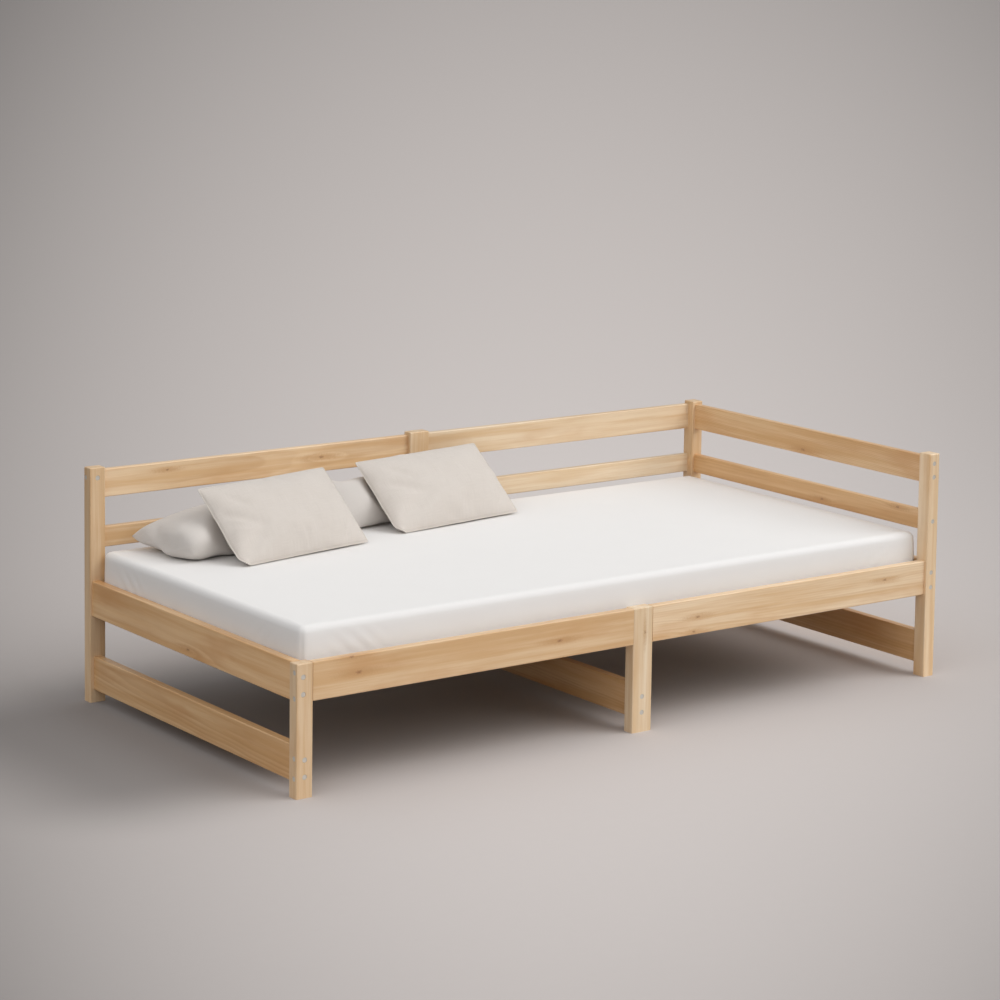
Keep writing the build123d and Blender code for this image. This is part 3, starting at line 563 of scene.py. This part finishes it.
def plump(piece, shares, size, amount):
    """Draws a filled bag towards an even cushion with a thin straight edge."""
    half_x, half_y, half_z = [length / 2 for length in size]
    for v, (u, t, side) in zip(piece.data.vertices, shares):
        across, up = 2 * u - 1, 2 * t - 1
        swell = ((1 - abs(across) ** 3.0) * (1 - abs(up) ** 2.4)) ** 0.72
        aim = Vector((half_x * across, half_y * up, half_z * side * swell))
        v.co = v.co.lerp(aim, amount)


def inflate(piece, pressure, frames, bend):
    """Fills the sewn bag with air until its cloth pulls into shape."""
    scene = bpy.context.scene
    scene.frame_set(1)
    modifier = piece.modifiers.new("fill", "CLOTH")
    modifier.point_cache.frame_end = frames
    settings = modifier.settings
    settings.quality = 8
    settings.mass = 0.25
    settings.tension_stiffness = CLOTH_TENSION
    settings.compression_stiffness = CLOTH_TENSION * 0.6
    settings.shear_stiffness = CLOTH_TENSION * 0.35
    settings.bending_stiffness = bend
    settings.tension_damping = 12
    settings.compression_damping = 12
    settings.air_damping = 3.0
    settings.use_pressure = True
    settings.uniform_pressure_force = pressure
    settings.effector_weights.gravity = 0
    modifier.collision_settings.use_collision = False
    modifier.collision_settings.use_self_collision = False
    for step in range(1, frames + 1):
        scene.frame_set(step)
    keep_evaluated(piece)
    scene.frame_set(1)
    return piece


def box_of(points):
    """The lowest and highest corners of some points."""
    return ([min(p[k] for p in points) for k in range(3)],
            [max(p[k] for p in points) for k in range(3)])


def fit_size(piece, size):
    """Centres the mesh and scales it to an overall size."""
    low, high = box_of([v.co for v in piece.data.vertices])
    middle = [(a + b) / 2 for a, b in zip(low, high)]
    for v in piece.data.vertices:
        v.co = Vector([(v.co[k] - middle[k]) * size[k] / (high[k] - low[k]) for k in range(3)])


def soften(piece, rounds, weight=0.5):
    """Evens out a mesh after its points were pushed."""
    mesh = piece.data
    around = [[] for _ in mesh.vertices]
    for edge in mesh.edges:
        a, b = edge.vertices
        around[a].append(b)
        around[b].append(a)
    points = [v.co.copy() for v in mesh.vertices]
    for _ in range(rounds):
        points = [p.lerp(sum((points[q] for q in near), Vector()) / len(near), weight)
                  for p, near in zip(points, around)]
    return points


def cushion_frame(node, pose):
    """From a cushion's own axes (X along, Y up its face, Z out of its front) to the bed's."""
    low, high = [Vector(c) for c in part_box(node)]
    yaw, lean, roll, shift = pose
    turn = Matrix.Rotation(math.radians(yaw), 4, "Z")
    tilt = Matrix.Rotation(math.radians(90 - lean), 4, "X")
    spin = Matrix.Rotation(math.radians(roll), 4, "Z")
    return Matrix.Translation((low + high) / 2 + Vector(shift)) @ turn @ tilt @ spin


def bell(distance, width):
    """1 at no distance, falling smoothly to 0."""
    return math.exp(-(distance / width) ** 2)


def dent(point, start, end, width, depth):
    """How far a soft crease along a line presses in at a point of a cushion's face."""
    a, b = Vector(start), Vector(end)
    share = max(0.0, min(1.0, (point - a).dot(b - a) / (b - a).length_squared))
    fade = math.sin(math.pi * (0.15 + 0.7 * share))
    return depth * fade * bell((point - a.lerp(b, share)).length, width)


# soft creases in the face of a cushion: from, to, width, depth
CREASES = (((-0.205, 0.03), (-0.12, -0.035), 0.012, 0.0075),
           ((-0.212, -0.01), (-0.15, -0.03), 0.009, 0.0050),
           ((-0.19, -0.095), (-0.115, -0.04), 0.020, 0.0095),
           ((-0.17, 0.075), (-0.13, 0.03), 0.010, 0.0045),
           ((-0.10, 0.12), (-0.03, 0.098), 0.008, 0.0035),
           ((0.01, -0.122), (0.006, -0.075), 0.007, 0.0045),
           ((0.205, 0.05), (0.15, 0.02), 0.012, 0.0045),
           ((0.13, -0.12), (0.16, -0.07), 0.010, 0.0040))
OTHER_CREASES = [((start[0] + 0.012, start[1] * 0.9), (end[0] + 0.03, end[1] * 0.8), width, depth)
                 for start, end, width, depth in CREASES]


def make_cushion(name, node, pose, creases, cloths, seed):
    """A sewn and filled cushion, set on its lower edge; gives where it stands."""
    material, cord, thread = cloths
    cushion, seam, stitched, shares = sewn_bag(name, *CUSHION_CLOTH, 0.0066, material, 0.0014,
                                               seed)
    inflate(cushion, 4.5, 24, 0.6)
    fit_size(cushion, CUSHION_FILLED)
    square_up(cushion, shares, CUSHION_FILLED, 0.96)
    plump(cushion, shares, CUSHION_FILLED, 0.62)
    sewn = set(seam)
    for index, point in enumerate(soften(cushion, 3, 0.5)):
        if index not in sewn:
            cushion.data.vertices[index].co = point
    place = cushion_frame(node, pose)
    floor = BED_TOP + CLOTH_GAP
    half_x, half_y, half_z = [size / 2 for size in CUSHION_FILLED]
    deepest = max(v.co.z for v in cushion.data.vertices)
    ear = Vector((-half_x, -half_y))
    for v in cushion.data.vertices:
        v.co.z *= half_z / deepest
        front = max(0.0, min(1.0, v.co.z / 0.02))
        flat = v.co.xy
        for start, end, width, depth in creases:
            v.co.z -= front * dent(flat, start, end, width, depth)
        # the weight of the filling bellies out the lower half
        v.co.z += 0.005 * front * bell(flat.y + 0.045, 0.05) * bell(flat.x, 0.16)
        # the corner it stands on is folded over into an ear
        fold = max(0.0, 1 - (flat - ear).length / 0.026)
        v.co.x += 0.013 * fold
        v.co.z += 0.012 * fold
        v.co = place @ v.co
        v.co.z = max(v.co.z, floor)
    dress(cushion, node)
    piping(name + "_piping", cushion, seam, cord, node)
    stitches(name + "_stitches", cushion, stitched, thread, node)
    return place


def dress(piece, node):
    """Smooths a stuffed piece, sets it on the body of the node it stands for, and hides that node."""
    subdivide = piece.modifiers.new("finer", "SUBSURF")
    subdivide.levels = subdivide.render_levels = 1
    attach(piece, NODES[node]["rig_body"])
    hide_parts(node)


def pillow_place(node, shift, height, turn, tilt):
    """Where a pillow lies: over the middle of its node, turned and tilted by degrees."""
    low, high = [Vector(c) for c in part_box(node)]
    return (Matrix.Translation(((low.x + high.x) / 2, (low.y + high.y) / 2 + shift,
                                BED_TOP + height))
            @ Matrix.Rotation(math.radians(turn), 4, "Z")
            @ Matrix.Rotation(math.radians(tilt), 4, "X"))


def make_pillow(name, node, shape, cushions, material, thread, seed, pushes=()):
    """A sewn and filled pillow that rests on the bed and gives way to the cushions."""
    size, cloth_size, lie = shape
    place = pillow_place(node, *lie)
    pillow, _, stitched, shares = sewn_bag(name, *cloth_size, 0.010, material, 0.003, seed)
    inflate(pillow, 4.0, 22, 0.5)
    fit_size(pillow, size)
    square_up(pillow, shares, size, 0.6)
    for v in pillow.data.vertices:
        if v.co.z < 0:
            v.co.z *= 0.45
        v.co = place @ v.co
        for corner, height, reach, push in pushes:
            amount = bell((v.co.xy - Vector(corner)).length, reach)
            v.co += Vector(push) * amount * bell(v.co.z - BED_TOP - height, 0.035)
    floor, wall = BED_TOP + CLOTH_GAP, BACK_LIMIT - 0.001
    wide, tall, deep = CUSHION_SPACE

    def hold(point):
        point.z = max(point.z, floor)
        point.y = min(point.y, wall)
        for cushion in cushions:
            local = cushion.inverted() @ point
            u, t = local.x / wide, local.y / tall
            if abs(u) < 1.12 and t < 1.1:
                bulge = max(0.0, 1 - u * u) ** 0.6 * max(0.0, 1 - t * t) ** 0.6
                limit = -deep * bulge - 0.010
                if local.z > limit:
                    local.z = limit
                    point = cushion @ local
        point.z = max(point.z, floor)
        return point

    for _ in range(3):
        for v, point in zip(pillow.data.vertices, soften(pillow, 2, 0.35)):
            v.co = hold(point)
    dress(pillow, node)
    stitches(name + "_stitches", pillow, stitched, thread, node)


# ---- stitches and cord, by geometry nodes -------------------------------------------------------
def end_tree(n, given, result, geometry):
    """The last nodes of a tree: real geometry, in its own finish."""
    real = n.add("GeometryNodeRealizeInstances", {0: geometry})
    dyed = n.add("GeometryNodeSetMaterial", {"Geometry": real.outputs[0],
                                             "Material": given["Finish"]})
    n.feed(result["Geometry"], dyed.outputs[0])


def make_stitch_tree():
    """Short stitches of thread, end to end along an edge."""
    group, n, given, result = node_group("stitch_row", (
        ("Geometry", "NodeSocketGeometry", None), ("Pitch", "NodeSocketFloat", 0.004),
        ("Stitch", "NodeSocketFloat", 0.0028), ("Thread", "NodeSocketFloat", 0.0005),
        ("Finish", "NodeSocketMaterial", None)), (("Geometry", "NodeSocketGeometry"),),
        kind="GeometryNodeTree")
    line = n.add("GeometryNodeMeshToCurve", {0: given["Geometry"]}).outputs[0]
    even = n.add("GeometryNodeCurveToPoints", mode="LENGTH")
    n.feed(even.inputs["Curve"], line)
    n.feed(even.inputs["Length"], given["Pitch"])
    bar = n.add("GeometryNodeMeshCylinder", {"Vertices": 6, "Radius": given["Thread"],
                                             "Depth": given["Stitch"]})
    placed = n.add("GeometryNodeInstanceOnPoints", {"Points": even.outputs["Points"],
                   "Instance": bar.outputs["Mesh"], "Rotation": even.outputs["Rotation"]})
    end_tree(n, given, result, placed.outputs[0])
    return group


def make_piping_tree():
    """A thin cord that follows a seam."""
    group, n, given, result = node_group("seam_piping", (
        ("Geometry", "NodeSocketGeometry", None), ("Radius", "NodeSocketFloat", 0.0012),
        ("Finish", "NodeSocketMaterial", None)), (("Geometry", "NodeSocketGeometry"),),
        kind="GeometryNodeTree")
    line = n.add("GeometryNodeMeshToCurve", {0: given["Geometry"]}).outputs[0]
    ring = n.add("GeometryNodeCurvePrimitiveCircle", {"Resolution": 7, "Radius": given["Radius"]})
    cord = n.add("GeometryNodeCurveToMesh", {"Curve": line, "Profile Curve": ring.outputs[0]})
    end_tree(n, given, result, cord.outputs[0])
    return group


STITCH_ROW = make_stitch_tree()
PIPING = make_piping_tree()


def grow(name, source, tree, values):
    """Runs a node tree on a mesh and keeps what it makes as a plain piece."""
    seed = bpy.data.objects.new(name, source)
    bpy.context.scene.collection.objects.link(seed)
    modifier = seed.modifiers.new("grow", "NODES")
    modifier.node_group = tree
    for item in tree.interface.items_tree:
        if item.in_out == "INPUT" and item.name in values:
            modifier[item.identifier] = values[item.name]
    return keep_evaluated(seed)


def seam_line(name, piece, row, lift):
    """A closed line through some of a piece's points, as they lie on its finished surface."""
    graph = bpy.context.evaluated_depsgraph_get()
    smooth = piece.evaluated_get(graph).to_mesh()
    points = [smooth.vertices[i].co + lift * smooth.vertices[i].normal for i in row]
    piece.evaluated_get(graph).to_mesh_clear()
    line = bpy.data.meshes.new(name + "_line")
    line.from_pydata(points, [(i, (i + 1) % len(points)) for i in range(len(points))], [])
    return line


def stitches(name, piece, row, material, node):
    """A row of stitches just inside the sewn edge."""
    made = grow(name, seam_line(name, piece, row, 0.0002), STITCH_ROW,
                {"Pitch": 0.0042, "Stitch": 0.0029, "Thread": 0.0004, "Finish": material})
    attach(made, NODES[node]["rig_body"])


def piping(name, piece, row, material, node):
    """A fine cord sewn into the edge of a cushion."""
    made = grow(name, seam_line(name, piece, row, 0.0003), PIPING,
                {"Radius": 0.0014, "Finish": material})
    for face in made.data.polygons:
        face.use_smooth = True
    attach(made, NODES[node]["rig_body"])


# ---- mattress and sheet -------------------------------------------------------------------------
def rounded_loop(half_x, half_y, radius, straight_x, straight_y, turns):
    """Points and outward directions round a rectangle with round corners, anticlockwise."""
    points = []
    corners = ((1, -1), (1, 1), (-1, 1), (-1, -1))
    for index, (sx, sy) in enumerate(corners):
        centre = Vector((sx * (half_x - radius), sy * (half_y - radius)))
        start = -math.pi / 2 + index * math.pi / 2
        for angle in turns:
            out = Vector((math.cos(start + angle), math.sin(start + angle)))
            points.append((centre + radius * out, out))
        nx, ny = corners[(index + 1) % 4]
        count = straight_y if index % 2 == 0 else straight_x
        end = Vector((nx * (half_x - radius), ny * (half_y - radius)))
        out = points[-1][1]
        first = centre + radius * out
        last = end + radius * out
        for step in range(1, count):
            points.append((first.lerp(last, step / count), out.copy()))
    return points


def wrapped_slab(name, low, high, corner, edge, hem, cell, shape, material):
    """A cloth cover round a slab: top, sides and a hem turned under, with UVs as it lies flat."""
    half = (high - low) / 2
    centre = (low + high) / 2
    turns_per_half = 3
    turns = [math.atan2(k, turns_per_half) for k in range(turns_per_half + 1)]
    turns += [math.pi / 2 - a for a in reversed(turns[:-1])]
    flat = corner - edge
    straight_x = round(2 * (half.x - corner) / cell)
    straight_y = round(2 * (half.y - corner) / cell)
    rings = [(edge * (1 - math.sin(a)), half.z - edge * (1 - math.cos(a)))
             for a in (math.radians(d) for d in range(0, 91, 15))]
    side_steps = max(2, round((2 * half.z - 2 * edge) / cell))
    for step in range(1, side_steps):
        rings.append((0.0, half.z - edge - step * (2 * half.z - 2 * edge) / side_steps))
    rings += [(edge * (1 - math.cos(a)), -half.z + edge * (1 - math.sin(a)))
              for a in (math.radians(d) for d in range(0, 91, 15))]
    hem_steps = max(1, round((hem - edge) / cell))
    rings += [(edge + (hem - edge) * k / hem_steps, -half.z) for k in range(1, hem_steps + 1)]
    bm = bmesh.new()
    pattern = bm.loops.layers.uv.new("pattern")
    laid = {}

    def vertex(x, y, z, out, run):
        made = bm.verts.new(shape(Vector((x, y, z)), out, half) + centre)
        laid[made] = Vector((x, y)) + out * run
        return made

    # the flat of the top
    xs = axis_steps(half.x - edge, flat, straight_x, turns_per_half)
    ys = axis_steps(half.y - edge, flat, straight_y, turns_per_half)
    grid = {}
    core_x, core_y = half.x - corner, half.y - corner
    for i, x in enumerate(xs):
        for j, y in enumerate(ys):
            px, py = x, y
            dx, dy = abs(x) - core_x, abs(y) - core_y
            if dx > 0 and dy > 0:
                share = max(dx, dy) / math.hypot(dx, dy)
                px = math.copysign(core_x + dx * share, x)
                py = math.copysign(core_y + dy * share, y)
            grid[i, j] = vertex(px, py, half.z, Vector((0, 0)), 0.0)
    for i in range(len(xs) - 1):
        for j in range(len(ys) - 1):
            bm.faces.new([grid[i, j], grid[i + 1, j], grid[i + 1, j + 1], grid[i, j + 1]])
    last_i, last_j = len(xs) - 1, len(ys) - 1
    k = turns_per_half
    border = [(i, 0) for i in range(last_i - k, last_i)] + [(last_i, j) for j in range(last_j)]
    border += [(i, last_j) for i in range(last_i, 0, -1)]
    border += [(0, j) for j in range(last_j, 0, -1)] + [(i, 0) for i in range(last_i - k)]
    previous = [grid[c] for c in border]
    run, before = 0.0, rings[0]
    for inset, z in rings[1:]:
        run += math.hypot(inset - before[0], z - before[1])
        before = (inset, z)
        loop = rounded_loop(half.x - inset, half.y - inset, max(corner - inset, 0.012),
                            straight_x, straight_y, turns)
        current = [vertex(p.x, p.y, z, out, run) for p, out in loop]
        count = len(current)
        for a in range(count):
            b = (a + 1) % count
            bm.faces.new([previous[a], current[a], current[b], previous[b]])
        previous = current
    for face in bm.faces:
        for loop in face.loops:
            loop[pattern].uv = laid[loop.vert]
    bmesh.ops.recalc_face_normals(bm, faces=bm.faces)
    if sum(f.normal.z for f in bm.faces if f.calc_center_median().z > high.z - 0.01) < 0:
        bmesh.ops.reverse_faces(bm, faces=bm.faces)
    return piece_from(name, bm, material)


def axis_steps(reach, corner, straight, turns):
    """Places along one axis of the flat top: close at its corners, even between."""
    inner = reach - corner
    steps = [-reach + corner * k / turns for k in range(turns)]
    steps += [-inner + 2 * inner * k / straight for k in range(straight)]
    return steps + [inner + corner * k / turns for k in range(turns + 1)]


def sheet_shape(point, out, half):
    """How a fitted sheet lies: nearly flat, a little full at the sides, pulled at the corners."""
    x, y, z = point
    across = max(0.0, 1 - (x / half.x) ** 6) * max(0.0, 1 - (y / half.y) ** 6)
    top = max(0.0, z / half.z) ** 3
    slow = noise.noise(Vector((x * 2.3, y * 3.1, 4.0)))
    fine = noise.noise(Vector((x * 7.0, y * 9.0, 9.0)))
    moved = point.copy()
    moved.z += top * ((0.0018 * slow + 0.0008 * fine) * across - 0.0016)
    corner_x, corner_y = half.x - abs(x), half.y - abs(y)
    if out.length == 0:
        reach = math.hypot(corner_x, corner_y)
        tug = math.sin((corner_x - corner_y) * 70 + 4 * slow) * bell(reach - 0.07, 0.07)
        moved.z += 0.0007 * tug
        return moved
    # the side is fullest below the edge, with short slanting pulls near each corner
    belly = max(0.0, 1 - (z / half.z) ** 2)
    along = corner_x if abs(out.y) > abs(out.x) else corner_y
    drop = (half.z - z) / (2 * half.z)
    slant = math.sin((along - 2.4 * drop * half.z) * 130 + 3 * slow)
    pull = slant * bell(along - 0.16, 0.07) * bell(drop - 0.42, 0.22)
    tuck = math.sin(along * 70 + 2.5 * drop + 6 * slow) * bell(drop - 0.9, 0.35) * 0.5
    seam = bell(abs(out.x) - abs(out.y), 0.16)
    ripple = noise.noise(Vector((x * 13, y * 13, z * 22)))
    push = (-0.0014 + 0.0016 * belly + 0.0022 * pull + 0.0006 * tuck * belly
            - 0.0028 * seam * belly + 0.0008 * ripple * belly)
    # the arm end has room for the mattress to bulge
    push += 0.007 * max(0.0, out.x) * belly ** 0.5
    moved.x += out.x * push
    moved.y += out.y * push
    return moved


def plain_shape(point, out, half):
    """A plain slab, left as it is."""
    return point


def make_bed():
    """The mattress and the fitted sheet stretched over it."""
    sheet_cloth = cloth("white_percale", rgb(243, 241, 239), rgb(236, 234, 232), 0.0005, 0.25,
                        0.86, 0.1, relief=0.0001, mottled=0.3)
    ticking = cloth("mattress_ticking", rgb(214, 211, 205), rgb(190, 187, 180), 0.0014, 0.6,
                    0.9, 0.1, relief=0.0004)
    inset = Vector((0.004, 0.004, 0.004))
    core = wrapped_slab("mattress_core", MATTRESS_LOW + inset, MATTRESS_HIGH - inset, 0.022,
                        0.015, 0.44, 0.03, plain_shape, ticking)
    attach(core, NODES["mattress"]["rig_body"])
    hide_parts("mattress")
    sheet = wrapped_slab("sheet", SHEET_LOW, SHEET_HIGH, SHEET_CORNER_R, SHEET_EDGE_R, SHEET_HEM,
                         SHEET_CELL, sheet_shape, sheet_cloth)
    thick = sheet.modifiers.new("thickness", "SOLIDIFY")
    thick.thickness = SHEET_THICKNESS
    thick.offset = -1
    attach(sheet, NODES["fitted_sheet"]["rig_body"])
    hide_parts("fitted_sheet")


# ---- the studio ---------------------------------------------------------------------------------
def make_floor():
    """A seamless floor with painted light: its colour falls away darker towards the far corners of
    the studio, and is darker again under the bed as painted shade.
    """
    bm = bmesh.new()
    bmesh.ops.create_circle(bm, cap_ends=True, segments=96, radius=220.0)
    material, n, shader = blank_material("studio_floor", 0.9)
    shader["Specular IOR Level"].default_value = 0.1
    place = n.add("ShaderNodeTexCoord").outputs["Object"]
    # painted light: the floor colour darkens away from the middle of the view, standing in for the
    # fall-off of the studio light
    stand = n.vector("SUBTRACT", place, (CAMERA_PLACE[0], CAMERA_PLACE[1], 0.0))
    turn = math.radians(CAMERA_TURN)
    ahead = n.vector("DOT_PRODUCT", stand, (-math.sin(turn), math.cos(turn), 0.0), out=1)
    ahead = n.math("MAXIMUM", ahead, 0.5)
    aside = n.vector("DOT_PRODUCT", stand, (math.cos(turn), math.sin(turn), 0.0), out=1)
    side = n.math("ADD", n.math("DIVIDE", aside, ahead), 0.0124)
    down = n.math("SUBTRACT", n.math("DIVIDE", CAMERA_PLACE[2], ahead), 0.2377)
    painted_falloff = n.math("MULTIPLY_ADD", n.math("MULTIPLY", side, side), -5.02, 0.552)
    painted_falloff = n.math("MULTIPLY_ADD", n.math("MULTIPLY", down, down), -3.445, painted_falloff)
    grit = n.noise(place, 30.0, 4.0, 0.6)
    tone = n.math("MULTIPLY", n.math("MAXIMUM", painted_falloff, 0.12),
                  n.scale(grit, 0.0, 1.0, FLOOR_TONE * 0.99, FLOOR_TONE * 1.01))
    # painted shade: the floor colour is drawn darker under the bed, spreading towards its open end
    under = n.vector("ABSOLUTE", n.vector("SUBTRACT", place, PAINTED_SHADE_MIDDLE))
    beyond = n.vector("MAXIMUM", n.vector("SUBTRACT", under, PAINTED_SHADE_REACH), (0, 0, 0))
    shade = n.smooth(n.vector("LENGTH", beyond, out=1), 0.0, 0.45, 0.58, 1.0)
    tone = n.math("MULTIPLY", tone, shade)
    tinted = n.join(n.math("MULTIPLY", tone, 1.08), tone, n.math("MULTIPLY", tone, 0.965))
    n.feed(shader["Base Color"], tinted)
    piece_from("studio_floor", bm, material)


def sun(name, come_from, strength, softness, colour):
    """Even light from one direction."""
    data = bpy.data.lights.new(name, "SUN")
    data.energy = strength
    data.angle = math.radians(softness)
    data.color = colour
    lamp = bpy.data.objects.new(name, data)
    bpy.context.scene.collection.objects.link(lamp)
    lamp.rotation_euler = Vector(come_from).to_track_quat("Z", "Y").to_euler()


def panel(name, place, width, power, colour):
    """A square soft box that stands near the bed and faces its middle."""
    light = bpy.data.lights.new(name, "AREA")
    light.shape = "SQUARE"
    light.size = width
    light.energy = power
    light.color = colour
    lamp = bpy.data.objects.new(name, light)
    lamp.location = place
    lamp.rotation_euler = (Vector(place) - Vector((0, 0, BED_TOP))).to_track_quat("Z", "Y").to_euler()
    bpy.context.scene.collection.objects.link(lamp)


def make_light():
    """A broad soft sky that darkens towards the horizon, a key from the arm end and a fill."""
    world = bpy.data.worlds.new("studio")
    bpy.context.scene.world = world
    world.use_nodes = True
    world.node_tree.nodes.clear()
    n = Nodes(world.node_tree)
    _, _, height = n.split(n.add("ShaderNodeTexCoord").outputs["Generated"])
    sky = n.add("ShaderNodeBackground", {"Color": (0.985, 0.985, 0.985, 1),
                                         "Strength": n.smooth(height, 0.0, 0.5, 0.08, 0.60)})
    n.feed(n.add("ShaderNodeOutputWorld").inputs["Surface"], sky.outputs[0])
    sun("key_light", (0.54, -0.68, 0.72), 1.16, 46.0, (1.0, 0.99, 0.98))
    sun("fill_light", (-0.62, -0.45, 0.64), 0.61, 70.0, (0.985, 0.985, 1.0))
    panel("arm_end_light", (2.7, -2.1, 2.7), 2.0, 19.0, (0.93, 0.965, 1.0))


def make_camera():
    """The view the daybed is shown from."""
    data = bpy.data.cameras.new("view")
    data.sensor_width = 36.0
    data.lens = LENS
    data.shift_x, data.shift_y = LENS_SHIFT
    data.clip_end = 500.0
    camera = bpy.data.objects.new("view", data)
    bpy.context.scene.collection.objects.link(camera)
    turn = (Matrix.Rotation(math.radians(CAMERA_TURN), 4, "Z")
            @ Matrix.Rotation(math.radians(90 - CAMERA_DROP), 4, "X")
            @ Matrix.Rotation(math.radians(CAMERA_ROLL), 4, "Z"))
    camera.matrix_world = Matrix.Translation(CAMERA_PLACE) @ turn
    bpy.context.scene.camera = camera


def make_cushions_and_pillows():
    linen = cloth("oat_linen", rgb(223, 215, 207), rgb(206, 197, 188), 0.0008, 1.0, 0.92, 0.2)
    cord = cloth("linen_cord", rgb(232, 225, 216), rgb(214, 206, 196), 0.0008, 0.6, 0.9, 0.2,
                 laid_out=False)
    linen_thread = cloth("linen_thread", rgb(208, 200, 190), rgb(192, 184, 174), 0.0004, 1.0,
                         0.85, 0.2, laid_out=False)
    cotton = cloth("pillow_cotton", rgb(220, 214, 208), rgb(207, 200, 194), 0.0005, 0.5, 0.9,
                   0.12, relief=0.0002)
    cotton_thread = cloth("cotton_thread", rgb(222, 218, 212), rgb(206, 201, 194), 0.0004, 1.0,
                          0.85, 0.2, laid_out=False)
    cloths = (linen, cord, linen_thread)
    cushions = [make_cushion("lumbar_cushion_left", "cushion_left", CUSHION_LEFT_POSE, CREASES,
                             cloths, 3.0),
                make_cushion("lumbar_cushion_right", "cushion_right", CUSHION_RIGHT_POSE,
                             OTHER_CREASES, cloths, 8.0)]
    make_pillow("bed_pillow_left", "pillow_left", PILLOW_LEFT, cushions, cotton, cotton_thread,
                5.0, PILLOW_PUSHES)
    make_pillow("bed_pillow_right", "pillow_right", PILLOW_RIGHT, cushions, cotton,
                cotton_thread, 6.0)


# ---- put it together ----------------------------------------------------------------------------
make_camera()
make_floor()
make_light()
bpy.context.scene.view_settings.view_transform = "Standard"
finish_timber()
finish_small_parts()
make_bed()
make_cushions_and_pillows()
